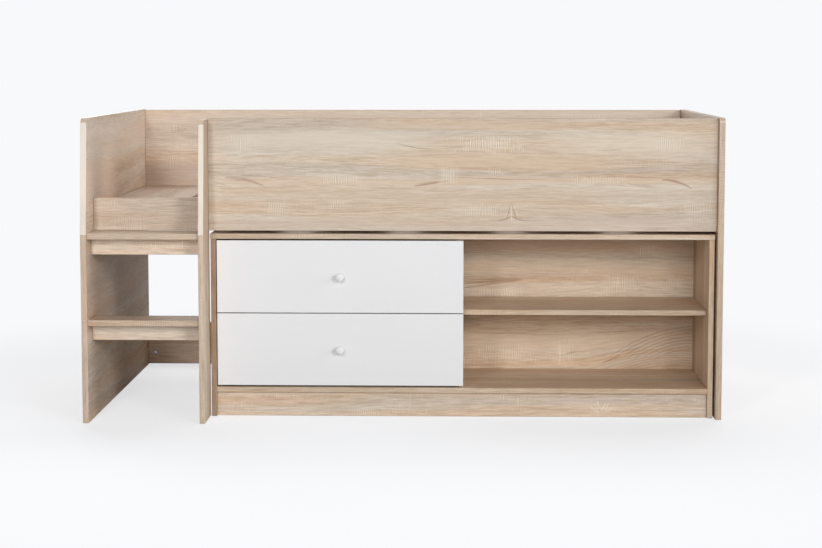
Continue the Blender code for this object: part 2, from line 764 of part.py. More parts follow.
def make_drawer_side(drawer, level, low, side, outer, inward):
    """A side with two grooves: the inner one takes the bottom, the outer one slides on the runner."""
    foot = low + BOX_ABOVE_FRONT_FOOT
    front = FRONT_INSIDE + SEAT_GAP
    inner = outer + inward * BOX_SIDE_THICKNESS
    name = "drawer_" + level + "_side_" + side
    corner = (min(outer, inner), front, foot)
    obj = board(name, corner, (max(outer, inner), BOX_REAR, foot + BOX_HEIGHT), white_board(name), drawer)
    tag = level + "_" + side
    groove_low = bottom_low(low) - GROOVE_GAP
    groove_high = bottom_low(low) + BOX_BOTTOM_THICKNESS + GROOVE_GAP
    start = front - CUT_OVERRUN
    name = "bottom_groove_" + tag
    cut_side_groove(obj, name, inner, -inward, BOX_GROOVE_DEPTH, start, groove_low, groove_high, drawer)
    half_height = RUNNER_HEIGHT / 2 + RUNNER_GROOVE_GAP
    groove_low = runner_middle(low) - half_height
    groove_high = runner_middle(low) + half_height
    start = RUNNER_FRONT - RUNNER_GROOVE_END_GAP
    name = "runner_groove_" + tag
    cut_side_groove(obj, name, outer, inward, RUNNER_GROOVE_DEPTH, start, groove_low, groove_high, drawer)


def make_drawer_back(drawer, level, low):
    """The board between the sides, over the drawer's bottom."""
    left = BOX_LEFT + BOX_SIDE_THICKNESS + SEAT_GAP
    right = BOX_RIGHT - BOX_SIDE_THICKNESS - SEAT_GAP
    rear = BOX_REAR - BOX_BACK_FROM_END
    foot = bottom_low(low) + BOX_BOTTOM_THICKNESS + SEAT_GAP
    name = "drawer_" + level + "_back"
    high = (right, rear, low + BOX_ABOVE_FRONT_FOOT + BOX_HEIGHT)
    board(name, (left, rear - BOX_BACK_THICKNESS, foot), high, white_board(name), drawer)


def make_drawer_bottom(drawer, level, low):
    in_side = BOX_SIDE_THICKNESS - BOX_BOTTOM_IN_GROOVE
    foot = bottom_low(low)
    name = "drawer_" + level + "_bottom"
    corner = (BOX_LEFT + in_side, FRONT_INSIDE - FRONT_BOTTOM_IN_GROOVE, foot)
    high = (BOX_RIGHT - in_side, BOX_REAR, foot + BOX_BOTTOM_THICKNESS)
    board(name, corner, high, white_board(name), drawer, THIN_EASE)


def quarter_turns(steps):
    """The angles of a quarter turn, after its start."""
    return [math.pi / 2 * step / steps for step in range(1, steps + 1)]


def knob_profile():
    """The knob's half outline from its screw's blind bore over its foot and neck to its crown."""
    head_start = KNOB_PROJECTION - KNOB_HEAD_LENGTH
    rim = KNOB_PROJECTION - KNOB_CROWN_LENGTH
    neck_middle = (KNOB_FOOT_LENGTH + head_start) / 2
    points = [
        (0, KNOB_BORE_DEPTH),
        (SCREW_BORE_RADIUS, KNOB_BORE_DEPTH),
        (SCREW_BORE_RADIUS, 0),
        (KNOB_FOOT_RADIUS, 0),
        (KNOB_FOOT_RADIUS, KNOB_FOOT_LENGTH / 2),
        (KNOB_NECK_RADIUS, KNOB_FOOT_LENGTH),
        (KNOB_NECK_RADIUS, neck_middle),
        (KNOB_NECK_RADIUS, head_start),
    ]
    flare = KNOB_RADIUS - KNOB_NECK_RADIUS
    for turn in quarter_turns(5):
        points.append((KNOB_NECK_RADIUS + flare * math.sin(turn), rim - (rim - head_start) * math.cos(turn)))
    for turn in quarter_turns(5):
        points.append((KNOB_RADIUS * math.cos(turn), rim + KNOB_CROWN_LENGTH * math.sin(turn)))
    points[-1] = (0, KNOB_PROJECTION)
    return points


def screw_profile():
    """The knob's screw from the crown of its head to the end of its shank."""
    thickness_through = FRONT_THICKNESS + SCREW_HEAD_GAP
    shank_end = thickness_through + SEAT_GAP + KNOB_BORE_DEPTH - SCREW_END_GAP
    return [
        (0, -SCREW_HEAD_LENGTH),
        (SCREW_CROWN_RADIUS, -SCREW_HEAD_LENGTH),
        (SCREW_HEAD_RADIUS, -SCREW_RIM_LENGTH),
        (SCREW_HEAD_RADIUS, 0),
        (SCREW_RADIUS, 0),
        (SCREW_RADIUS, shank_end),
        (0, shank_end),
    ]


def make_knob(drawer, level, low, front):
    """The knob in the middle of the front, and the screw that holds it from inside the drawer."""
    x = (FRONT_LEFT + FRONT_RIGHT) / 2
    z = low + FRONT_HEIGHT / 2
    out = (0, -1, 0)
    name = "knob_" + level
    turned(name, knob_profile(), (x, FRONT_FACE - SEAT_GAP, z), out, white_plastic(name), drawer)
    hole_start = (x, FRONT_INSIDE + CUT_OVERRUN, z)
    hole_length = FRONT_THICKNESS + 2 * CUT_OVERRUN
    cut_round(front, "knob_hole_" + level, SCREW_BORE_RADIUS, hole_length, hole_start, out, drawer)
    name = "knob_screw_" + level
    turned(name, screw_profile(), (x, FRONT_INSIDE + SCREW_HEAD_GAP, z), out, zinc(name), drawer)


def make_drawer(chest, level, low):
    middle = (FRONT_LEFT + FRONT_RIGHT) / 2
    drawer = anchor("drawer_" + level + "_slide", (middle, FRONT_FACE, runner_middle(low)), chest)
    front = make_drawer_front(drawer, level, low)
    make_drawer_side(drawer, level, low, "left", BOX_LEFT, 1)
    make_drawer_side(drawer, level, low, "right", BOX_RIGHT, -1)
    make_drawer_back(drawer, level, low)
    make_drawer_bottom(drawer, level, low)
    make_knob(drawer, level, low, front)


def build():
    clear_scene()
    bed = anchor("bed_frame", (0, 0, 0))
    panels = {"left": make_end_panel_left(bed), "right": make_end_panel_right(bed)}
    make_guards(bed)
    make_ladder_upright(bed)
    make_step(bed, "lower", TREAD_LOWER_TOP)
    make_step(bed, "upper", TREAD_UPPER_TOP)
    make_entry_rail(bed)
    make_rear_rail(bed, panels)
    make_ledgers(bed)
    make_base_boards(bed)
    chest = anchor("chest_slide", ((CHEST_LEFT + CHEST_RIGHT) / 2, CHEST_FRONT, 0))
    make_chest_top(chest)
    sides = make_chest_sides(chest)
    make_chest_bottom(chest)
    make_chest_plinths(chest)
    make_chest_back(chest)
    divider = make_chest_divider(chest)
    make_shelf(chest)
    make_shelf_pins(chest, divider, sides["right"])
    for level, low in DRAWER_LOWS.items():
        make_runners(chest, level, low)
        make_drawer(chest, level, low)


build()
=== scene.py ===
"""Looks of the storage cabin bed: oak print, white drawers, fittings, floor, lamps and camera.

Lengths are in metres in the CAD model's frame: X along the bed, -Y its front, Z up. Colours are
written as screen values, 0..255, and linear() turns them into what nodes take.
"""

import math

import bmesh
import bpy
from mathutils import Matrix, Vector


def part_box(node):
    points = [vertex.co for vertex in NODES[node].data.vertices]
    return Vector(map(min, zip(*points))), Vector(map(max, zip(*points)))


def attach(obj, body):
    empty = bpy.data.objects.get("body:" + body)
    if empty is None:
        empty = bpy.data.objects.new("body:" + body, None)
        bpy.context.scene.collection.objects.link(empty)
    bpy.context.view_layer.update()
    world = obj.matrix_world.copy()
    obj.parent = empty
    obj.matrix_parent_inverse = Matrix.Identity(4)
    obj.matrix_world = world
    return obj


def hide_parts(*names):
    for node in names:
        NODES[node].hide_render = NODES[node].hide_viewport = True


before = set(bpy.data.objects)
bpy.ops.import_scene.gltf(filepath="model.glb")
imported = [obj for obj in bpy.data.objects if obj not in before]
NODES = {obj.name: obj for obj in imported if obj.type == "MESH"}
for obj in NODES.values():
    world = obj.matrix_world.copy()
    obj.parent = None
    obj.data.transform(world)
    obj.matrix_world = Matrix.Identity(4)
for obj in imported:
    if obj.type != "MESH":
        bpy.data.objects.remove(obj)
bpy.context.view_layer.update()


# ---------------------------------------------------------------- node helpers
def linear(rgb):
    """Screen colour 0..255 to the linear values that nodes take."""
    out = []
    for value in rgb:
        c = value / 255.0
        out.append(c / 12.92 if c <= 0.04045 else ((c + 0.055) / 1.055) ** 2.4)
    return tuple(out) + (1.0,)


def dimmed(colour, share):
    """A linear colour times share."""
    return tuple(c * share for c in colour[:3]) + (1.0,)


WHITE = (1.0, 1.0, 1.0, 1.0)
PAPER = linear((248, 249, 251))


class Net:
    """Short calls that add nodes to a tree and wire them."""

    def __init__(self, tree):
        self.tree = tree

    def add(self, kind, **settings):
        node = self.tree.nodes.new(kind)
        for key, value in settings.items():
            setattr(node, key, value)
        return node

    def feed(self, socket, value):
        if isinstance(value, bpy.types.NodeSocket):
            self.tree.links.new(value, socket)
        elif value is not None:
            socket.default_value = value

    def math(self, operation, a, b=None, c=None, clamp=False):
        node = self.add("ShaderNodeMath", operation=operation, use_clamp=clamp)
        for socket, value in zip(node.inputs, (a, b, c)):
            self.feed(socket, value)
        return node.outputs[0]

    def times(self, a, b):
        return self.math("MULTIPLY", a, b)

    def off_middle(self, noise, reach, base):
        """Base shifted by a 0..1 noise taken about its middle, times reach."""
        return self.math("MULTIPLY_ADD", self.math("SUBTRACT", noise, 0.5), reach, base)

    def distance(self, a, b):
        return self.math("ABSOLUTE", self.math("SUBTRACT", a, b))

    def vector(self, operation, a, b=None):
        node = self.add("ShaderNodeVectorMath", operation=operation)
        self.feed(node.inputs[0], a)
        self.feed(node.inputs[1], b)
        return node.outputs[0]

    def split(self, value):
        node = self.add("ShaderNodeSeparateXYZ")
        self.feed(node.inputs[0], value)
        return node.outputs[0], node.outputs[1], node.outputs[2]

    def join(self, x, y, z):
        node = self.add("ShaderNodeCombineXYZ")
        for socket, value in zip(node.inputs, (x, y, z)):
            self.feed(socket, value)
        return node.outputs[0]

    def noise(self, where, scale, detail, roughness):
        node = self.add("ShaderNodeTexNoise", noise_dimensions="3D")
        self.feed(node.inputs["Vector"], where)
        node.inputs["Scale"].default_value = scale
        node.inputs["Detail"].default_value = detail
        node.inputs["Roughness"].default_value = roughness
        return node.outputs["Fac"]

    def grain_noise(self, a, per_a, b, per_b, seed, detail=1.0, roughness=0.5):
        """Noise with per_a features to the metre along a and per_b across it."""
        where = self.join(self.times(a, per_a), self.times(b, per_b), seed)
        return self.noise(where, 1.0, detail, roughness)

    def spread(self, value, low, high, to_low=0.0, to_high=1.0):
        """Value from low..high taken to to_low..to_high, with soft ends."""
        node = self.add("ShaderNodeMapRange", interpolation_type="SMOOTHSTEP")
        for socket, number in zip(node.inputs, (value, low, high, to_low, to_high)):
            self.feed(socket, number)
        return node.outputs[0]

    def blend(self, share, a, b, kind="MIX"):
        node = self.add("ShaderNodeMix", data_type="RGBA", blend_type=kind)
        self.feed(node.inputs[0], share)
        self.feed(node.inputs[6], a)
        self.feed(node.inputs[7], b)
        return node.outputs[2]

    def toward(self, colour, rgb, share, strength=None):
        """The colour taken towards a screen colour by share, times strength if one is given."""
        if strength is not None:
            share = self.times(share, strength)
        return self.blend(share, colour, linear(rgb))

    def pick(self, share, a, b):
        node = self.add("ShaderNodeMix", data_type="FLOAT")
        self.feed(node.inputs[0], share)
        self.feed(node.inputs[2], a)
        self.feed(node.inputs[3], b)
        return node.outputs[0]

    def bump(self, height, strength, distance):
        node = self.add("ShaderNodeBump")
        node.inputs["Strength"].default_value = strength
        node.inputs["Distance"].default_value = distance
        self.feed(node.inputs["Height"], height)
        return node.outputs[0]


FLOAT, VECTOR, COLOUR = "NodeSocketFloat", "NodeSocketVector", "NodeSocketColor"


def new_group(name, inputs, outputs):
    """An empty node group: its net, its inputs' sockets and its outputs' sockets."""
    tree = bpy.data.node_groups.new(name, "ShaderNodeTree")
    for label, kind, value in inputs:
        socket = tree.interface.new_socket(label, in_out="INPUT", socket_type=kind)
        if value is not None:
            socket.default_value = value
    for label, kind in outputs:
        tree.interface.new_socket(label, in_out="OUTPUT", socket_type=kind)
    net = Net(tree)
    return net, net.add("NodeGroupInput").outputs, net.add("NodeGroupOutput").inputs


def group_node(net, tree, **values):
    """A group in a net. A value's name is its socket's label with _ for a space."""
    node = net.add("ShaderNodeGroup", node_tree=tree)
    for label, value in values.items():
        net.feed(node.inputs[label.replace("_", " ")], value)
    return node.outputs


def new_material(name):
    """An empty material: itself, its net and its shader's inputs."""
    material = bpy.data.materials.new(name)
    material.use_nodes = True
    material.node_tree.nodes.clear()
    net = Net(material.node_tree)
    shader = net.add("ShaderNodeBsdfPrincipled")
    out = net.add("ShaderNodeOutputMaterial")
    net.feed(out.inputs["Surface"], shader.outputs[0])
    return material, net, shader.inputs


# ---------------------------------------------------------------- node groups of the oak print
FACE_LIMIT = 0.6  # a normal's share along an axis, above which a face belongs to that axis
GLUE_FROM_EDGE = 0.0010
RIM_WIDTH = 0.004

# layers of the print: features to the metre along and across, shift of the seed, roughness
BAND_LAYER = (0.45, 15.0, 3.1, 0.50)
WARM_LAYER = (0.80, 22.0, 9.7, 0.50)
STREAK_LAYER = (4.5, 100.0, 17.0, 0.55)
DASH_LAYER = (17.0, 260.0, 31.0, 0.60)
FIBRE_LAYER = (90.0, 900.0, 23.0, 0.60)
SWAY_REACH = 0.060
FLOW_REACH = 0.0035
RINGS_PER_METRE = 62.0
BEND_SHOWS = (0.012, 0.05, 0.0, 0.85)

GREY_DEEP, GREY_PALE = (197, 182, 166), (219, 207, 192)
TAN_DEEP, TAN_PALE = (203, 178, 153), (215, 193, 169)
RING_SOFT, RING_SHARP = (188, 158, 134), (152, 120, 98)
STREAK_SHADE, DASH_SHADE = (244, 240, 236), (231, 226, 220)
PORE, FIBRE_SHINE = (158, 130, 110), (234, 226, 212)
SAW_PALE, SAW_DEEP = (232, 223, 206), (186, 163, 142)
PATCH_PALE, PATCH_DEEP = (238, 229, 212), (184, 160, 138)
STROKE_BROWN = (150, 116, 94)


def make_board_group():
    """Turns a place on a board into (along the grain, across it) on whichever face it lies.

    Also gives 1 on the taped edge faces, 1 in the thin glue line where the tape meets a broad
    face, and a share that rises to 1 at the board's rim.
    """
    inputs = [("Place", VECTOR, None), ("Normal", VECTOR, None), ("Middle", VECTOR, None),
              ("Half", VECTOR, None), ("Shift", VECTOR, None)]
    outputs = [("Print", VECTOR), ("Edge", FLOAT), ("Glue Line", FLOAT), ("Rim", FLOAT)]
    net, given, made = new_group("board_faces", inputs, outputs)
    a, b, c = net.split(given["Place"])
    normal_a, normal_b, _ = net.split(net.vector("ABSOLUTE", given["Normal"]))
    on_end = net.math("GREATER_THAN", normal_a, FACE_LIMIT)
    on_long = net.math("GREATER_THAN", normal_b, FACE_LIMIT)
    edge = net.math("MAXIMUM", on_end, on_long)
    along = net.pick(on_end, a, b)
    across = net.pick(edge, b, c)
    middle_a, middle_b, _ = net.split(given["Middle"])
    half_a, half_b, _ = net.split(given["Half"])
    to_a = net.math("SUBTRACT", half_a, net.distance(a, middle_a))
    to_b = net.math("SUBTRACT", half_b, net.distance(b, middle_b))
    to_edge = net.math("MINIMUM", to_a, to_b)
    line = net.spread(net.distance(to_edge, GLUE_FROM_EDGE), 0.0002, 0.0006, 1.0, 0.0)
    broad = net.math("SUBTRACT", 1.0, edge)
    net.feed(made["Print"], net.vector("ADD", net.join(along, across, 0.0), given["Shift"]))
    net.feed(made["Edge"], edge)
    net.feed(made["Glue Line"], net.times(line, broad))
    net.feed(made["Rim"], net.spread(to_edge, 0.0, RIM_WIDTH, 1.0, 0.0))
    return net.tree


def saw_teeth(net, a, b, seed, fineness, wander):
    """Marks of single saw teeth along a, 0..1, whose spacing wanders."""
    drift = net.grain_noise(a, 34.0, b, 8.0, seed)
    wave = net.math("SINE", net.math("MULTIPLY_ADD", a, fineness, net.times(drift, wander)))
    return net.spread(wave, -0.4, 0.9)


def make_print_group():
    """The printed oak: broad warm and grey bands, growth lines, fibres, pores and saw marks."""
    inputs = [("Print", VECTOR, None), ("Marks", FLOAT, 1.0), ("Figure", FLOAT, 1.0),
              ("Bend", FLOAT, 0.0)]
    outputs = [("Colour", COLOUR), ("Height", FLOAT), ("Gloss", FLOAT)]
    net, given, made = new_group("oak_print", inputs, outputs)
    a, b, seed = net.split(given["Print"])

    # growth lines wander across the board, so that they open into long pointed arches
    sway = net.grain_noise(a, 1.5, b, 7.0, seed, 1.0, 0.4)
    across = net.off_middle(sway, net.times(given["Figure"], SWAY_REACH), b)
    flow = net.grain_noise(a, 6.0, b, 36.0, seed, 2.0)
    across = net.off_middle(flow, FLOW_REACH, across)
    across = net.math("ADD", across, given["Bend"])

    def layer(per_a, per_b, shift, roughness):
        slice_seed = net.math("ADD", seed, shift)
        return net.grain_noise(a, per_a, across, per_b, slice_seed, 2.0, roughness)

    bands, warm = layer(*BAND_LAYER), layer(*WARM_LAYER)
    streaks, dashes, fibres = layer(*STREAK_LAYER), layer(*DASH_LAYER), layer(*FIBRE_LAYER)

    pale = net.spread(bands, 0.32, 0.68)
    grey = net.blend(pale, linear(GREY_DEEP), linear(GREY_PALE))
    tan = net.blend(pale, linear(TAN_DEEP), linear(TAN_PALE))
    colour = net.blend(net.spread(warm, 0.42, 0.62, 0.0, 0.95), grey, tan)

    # growth lines: each one starts sharp and dark on one side and fades on the other
    rings = net.times(across, RINGS_PER_METRE)
    step = net.math("FRACT", rings)
    which = net.math("FLOOR", rings)
    soft = net.times(net.spread(step, 0.0, 0.06), net.spread(step, 0.06, 0.60, 1.0, 0.0))
    sharp = net.times(net.spread(step, 0.0, 0.05), net.spread(step, 0.05, 0.20, 1.0, 0.0))
    own_seed = net.math("MULTIPLY_ADD", which, 1.7, seed)
    here = net.grain_noise(a, 4.6, b, 20.0, own_seed)
    bent = net.spread(net.math("ABSOLUTE", given["Bend"]), *BEND_SHOWS)
    strong = net.math("MAXIMUM", net.spread(here, 0.56, 0.77), bent)
    colour = net.toward(colour, RING_SOFT, net.times(soft, net.times(strong, 0.40)))
    colour = net.toward(colour, RING_SHARP, net.times(sharp, net.times(strong, 0.45)))

    # fine lines along the grain
    for lines, low, high, shade in ((streaks, 0.30, 0.68, STREAK_SHADE),
                                    (dashes, 0.32, 0.66, DASH_SHADE)):
        veil = net.blend(net.spread(lines, low, high), linear(shade), WHITE)
        colour = net.blend(1.0, colour, veil, "MULTIPLY")
    pores = net.spread(fibres, 0.60, 0.74)
    colour = net.toward(colour, PORE, pores, 0.42)
    colour = net.toward(colour, FIBRE_SHINE, net.spread(fibres, 0.46, 0.30, 0.0, 0.16))

    # pale saw marks across the grain, in short patches, each tooth mark with its own reach
    zone = net.grain_noise(a, 6.2, b, 22.0, net.math("ADD", seed, 41.0))
    ragged = net.grain_noise(a, 150.0, b, 44.0, net.math("ADD", seed, 47.0))
    zone = net.off_middle(ragged, 0.26, zone)
    zone = net.times(net.spread(zone, 0.54, 0.72), given["Marks"])
    teeth = saw_teeth(net, a, b, seed, 1000.0, 22.0)
    between = net.math("SUBTRACT", 1.0, teeth)
    colour = net.toward(colour, SAW_PALE, net.times(zone, net.times(teeth, 0.50)))
    colour = net.toward(colour, SAW_DEEP, net.times(zone, net.times(between, 0.22)))

    height = net.math("MULTIPLY_ADD", pores, -0.6, net.times(fibres, 0.35))
    height = net.math("MULTIPLY_ADD", net.times(zone, teeth), 0.35, height)
    height = net.math("MULTIPLY_ADD", net.times(sharp, strong), -0.4, height)
    net.feed(made["Colour"], colour)
    net.feed(made["Height"], height)
    net.feed(made["Gloss"], net.math("MULTIPLY_ADD", streaks, 0.10, net.times(pores, 0.12)))
    return net.tree


def make_stroke_group():
    """1 in a long curved stroke: sharp on its lower side, soft above, tapered at both ends."""
    inputs = [("Print", VECTOR, None), ("Along", FLOAT, 0.0), ("Across", FLOAT, 0.0),
              ("Length", FLOAT, 0.2), ("Slope", FLOAT, 0.0), ("Curve", FLOAT, 0.0),
              ("Width", FLOAT, 0.006)]
    net, given, made = new_group("oak_stroke", inputs, [("Share", FLOAT)])
    a, b, seed = net.split(given["Print"])
    da = net.math("SUBTRACT", a, given["Along"])
    t = net.math("DIVIDE", da, given["Length"])
    db = net.math("SUBTRACT", b, given["Across"])
    db = net.math("SUBTRACT", db, net.times(da, given["Slope"]))
    db = net.math("SUBTRACT", db, net.times(net.times(t, t), given["Curve"]))
    db = net.off_middle(net.grain_noise(a, 22.0, b, 60.0, seed), 0.006, db)
    reach = net.math("SUBTRACT", 1.0, net.math("ABSOLUTE", t), clamp=True)
    width = net.math("MULTIPLY_ADD", net.math("SQRT", reach), given["Width"], 0.00001)
    side = net.math("DIVIDE", db, width)
    share = net.times(net.spread(side, 0.0, 1.0, 1.0, 0.0), net.spread(side, -0.30, 0.0))
    net.feed(made["Share"], net.times(share, net.spread(reach, 0.0, 0.25)))
    return net.tree


def make_patch_group():
    """1 inside a ragged patch of saw marks."""
    inputs = [("Print", VECTOR, None), ("Along", FLOAT, 0.0), ("Across", FLOAT, 0.0),
              ("Length", FLOAT, 0.1), ("Width", FLOAT, 0.03)]
    net, given, made = new_group("oak_saw_patch", inputs, [("Share", FLOAT)])
    a, b, seed = net.split(given["Print"])

    def off(value, middle, half):
        ratio = net.math("DIVIDE", net.math("SUBTRACT", value, given[middle]), given[half])
        return net.math("ABSOLUTE", ratio)

    far = net.math("MAXIMUM", off(a, "Along", "Length"), off(b, "Across", "Width"))
    far = net.off_middle(net.grain_noise(a, 150.0, b, 40.0, seed), 1.1, far)
    far = net.off_middle(net.grain_noise(a, 16.0, b, 55.0, seed), 0.9, far)
    net.feed(made["Share"], net.spread(far, 0.45, 1.20, 1.0, 0.0))
    return net.tree


BOARD_FACES = make_board_group()
OAK_PRINT = make_print_group()
STROKE = make_stroke_group()
PATCH = make_patch_group()

# ---------------------------------------------------------------- the boards' own figure
# strokes: along, across, half length, slope, curve, width, strength
GUARD_STROKES = [
    (-0.490, 0.7370, 0.072, -0.220, -0.010, 0.0100, 0.56),
    (-0.478, 0.7300, 0.050, -0.240, -0.006, 0.0060, 0.34),
    (-0.505, 0.7450, 0.060, -0.120, -0.006, 0.0060, 0.30),
    (-0.455, 0.7480, 0.110, -0.040, -0.004, 0.0040, 0.44),
    (-0.560, 0.7250, 0.030, -0.350, 0.000, 0.0040, 0.44),
    (-0.575, 0.7270, 0.026, -0.350, 0.000, 0.0035, 0.36),
    (0.085, 0.7270, 0.062, 0.150, 0.002, 0.0110, 0.69),
    (0.030, 0.8380, 0.064, -0.170, 0.005, 0.0045, 0.62),
    (0.300, 0.7410, 0.160, -0.025, 0.003, 0.0032, 0.69),
    (0.626, 0.8300, 0.046, 0.000, 0.000, 0.0030, 0.69),
    (0.700, 0.7480, 0.110, -0.015, -0.003, 0.0032, 0.62),
    (0.835, 0.7320, 0.052, -0.280, -0.008, 0.0100, 0.75),
    (0.705, 0.7240, 0.024, -0.300, 0.000, 0.0035, 0.50),
    (0.728, 0.7210, 0.024, -0.320, 0.000, 0.0035, 0.50),
    (0.752, 0.7190, 0.024, -0.340, 0.000, 0.0035, 0.50),
    # the knot's roots
    (0.308, 0.6165, 0.022, 0.330, 0.004, 0.0055, 0.75),
    (0.350, 0.6175, 0.024, -0.360, 0.004, 0.0055, 0.75),
    (0.284, 0.6125, 0.030, 0.050, 0.002, 0.0035, 0.45),
    (0.378, 0.6125, 0.034, -0.050, 0.002, 0.0035, 0.50),
    (0.347, 0.6260, 0.018, -0.500, 0.003, 0.0035, 0.45),
]
# knots, strokes that stand across the grain: along, across, half height, lean, curve, width,
# strength, colour
GUARD_KNOTS = [
    (0.3205, 0.6400, 0.030, 0.230, 0.000, 0.0045, 0.62, STROKE_BROWN),
    (0.3375, 0.6380, 0.028, -0.240, 0.000, 0.0045, 0.62, STROKE_BROWN),
    (0.3290, 0.6520, 0.018, 0.060, 0.000, 0.0035, 0.45, (156, 122, 100)),
    (0.3290, 0.6380, 0.028, 0.000, 0.000, 0.0050, 0.60, (232, 222, 205)),
    (0.3440, 0.6420, 0.018, -0.420, 0.000, 0.0035, 0.45, (228, 217, 200)),
    (0.3130, 0.6300, 0.014, 0.420, 0.000, 0.0035, 0.45, (228, 217, 200)),
]
# patches of saw marks: along, across, half length, half height, strength
GUARD_PATCHES = [
    (0.255, 0.8480, 0.100, 0.024, 0.98),
    (0.803, 0.8490, 0.047, 0.019, 0.69),
    (0.138, 0.7520, 0.031, 0.026, 0.86),
    (0.283, 0.7640, 0.027, 0.011, 0.63),
    (0.594, 0.7390, 0.070, 0.011, 0.69),
    (0.235, 0.6450, 0.055, 0.019, 0.63),
    (-0.498, 0.8520, 0.037, 0.025, 0.52),
    (-0.192, 0.7390, 0.072, 0.014, 0.75),
    (-0.200, 0.6620, 0.030, 0.013, 0.57),
    (-0.390, 0.6480, 0.030, 0.028, 0.63),
    (0.895, 0.6420, 0.045, 0.034, 0.46),
]
# broad tones: from, to along the grain, across, half height, colour, strength
GUARD_WIDE = [
    (-0.60, 0.10, 0.856, 0.040, (219, 209, 193), 0.60),
    (0.45, 0.96, 0.850, 0.045, (217, 206, 190), 0.50),
    (-0.10, 0.50, 0.905, 0.016, (207, 182, 153), 0.55),
    (0.00, 0.60, 0.790, 0.024, (210, 187, 158), 0.50),
    (-0.55, 0.30, 0.735, 0.014, (208, 180, 153), 0.55),
    (0.20, 0.96, 0.735, 0.014, (210, 184, 157), 0.55),
    (-0.60, 0.96, 0.690, 0.030, (208, 190, 169), 0.35),
    (-0.60, 0.96, 0.600, 0.024, (200, 180, 163), 0.50),
    (0.10, 0.70, 0.640, 0.016, (208, 184, 158), 0.35),
]

# the same four lists for the back board, which shows in the two open bays
BACK_STROKES = [
    (0.270, 0.3700, 0.112, 0.140, 0.000, 0.0080, 0.62),
    (0.278, 0.3790, 0.108, 0.070, 0.000, 0.0100, 0.72),
    (0.290, 0.3870, 0.098, 0.020, 0.000, 0.0080, 0.62),
    (0.560, 0.3520, 0.050, 0.120, 0.000, 0.0050, 0.40),
    (0.5375, 0.1430, 0.020, 0.150, 0.000, 0.0070, 0.70),
    (0.672, 0.1210, 0.034, 0.400, 0.000, 0.0090, 0.70),
    (0.700, 0.2160, 0.090, 0.060, 0.000, 0.0050, 0.50),
    (0.330, 0.2080, 0.110, -0.020, 0.000, 0.0060, 0.45),
]
BACK_KNOTS = [
    (0.502, 0.1450, 0.046, 0.000, 0.000, 0.0040, 0.55, (238, 228, 212)),
    (0.236, 0.1420, 0.028, 0.000, 0.000, 0.0035, 0.40, (236, 226, 210)),
    (0.691, 0.3740, 0.022, 0.000, 0.000, 0.0040, 0.45, (238, 228, 212)),
    (0.715, 0.3660, 0.024, 0.000, 0.000, 0.0035, 0.40, (238, 228, 212)),
]
BACK_PATCHES = [
    (0.703, 0.3720, 0.062, 0.030, 0.75),
    (0.790, 0.4850, 0.036, 0.016, 0.65),
    (0.275, 0.3460, 0.090, 0.012, 0.65),
    (0.880, 0.3800, 0.030, 0.022, 0.45),
    (0.313, 0.1400, 0.100, 0.026, 0.65),
    (0.515, 0.1500, 0.036, 0.038, 0.50),
]
# its broad tones are painted light and shade: the dark band just under the chest's top is painted
# shade, the pale bands lower in each bay painted light
BACK_PAINTED_LIGHT_AND_SHADE = [
    (-0.60, 1.00, 0.505, 0.036, (196, 164, 138), 0.55),
    (-0.60, 1.00, 0.430, 0.030, (228, 211, 190), 0.40),
    (-0.60, 1.00, 0.185, 0.030, (226, 211, 193), 0.40),
]
# a flame bends the growth lines into an arch: along, across, half length, half height, lift
BACK_FLAMES = [(0.87, 0.060, 0.20, 0.100, -0.115)]

# broad tones of the other boards, in the same columns; the plinth's is print, the others are
# painted light and shade
PLINTH_WIDE = [(0.60, 0.62, 0.036, 0.022, (226, 213, 195), 0.60)]
# the left end panel: the pale bands high up are painted light, and the dark band low down, where
# the ladder's shadow falls on its inner face, is painted shade
PANEL_PAINTED_LIGHT_AND_SHADE = [
    (-0.80, 0.80, 0.850, 0.085, (229, 213, 201), 0.42),
    (-0.80, 0.80, 0.420, 0.150, (192, 161, 136), 0.40),
    (-0.80, -0.12, 0.730, 0.070, (232, 210, 195), 0.60),
]
# the chest's right side: paler towards its front as painted light, darker at its back edge as
# painted shade
SIDE_PAINTED_LIGHT_AND_SHADE = [
    (-0.10, 0.65, -0.350, 0.060, (232, 208, 182), 0.45),
    (-0.10, 0.65, -0.075, 0.060, (150, 116, 92), 0.55),
]
# the first base board: darker next to the left end panel as painted shade, paler beyond it as
# painted light
BASE_PAINTED_LIGHT_AND_SHADE = [
    (-0.60, 0.60, -0.900, 0.050, (184, 147, 134), 0.45),
    (-0.60, 0.60, -0.740, 0.045, (236, 215, 199), 0.75),
]
# the rear guard: darker in its lower left corner as painted shade, paler along its top as painted
# light
REAR_PAINTED_LIGHT_AND_SHADE = [
    (-1.20, -0.86, 0.690, 0.050, (150, 120, 102), 0.75),
    (-0.90, -0.60, 0.690, 0.060, (180, 163, 153), 0.50),
    (-0.96, 0.96, 0.905, 0.030, (222, 205, 188), 0.45),
]


def nested_arches(count=8):
    """Strokes of the back board's flame, each arch inside the one before."""
    arches = []
    for number in range(count):
        inner = number / (count - 1)
        arches.append((0.800 + 0.070 * inner, 0.203 - 0.056 * inner, 0.165 - 0.095 * inner,
                       0.382 - 0.082 * inner, -0.032 + 0.018 * inner, 0.0065, 0.50))
    return arches


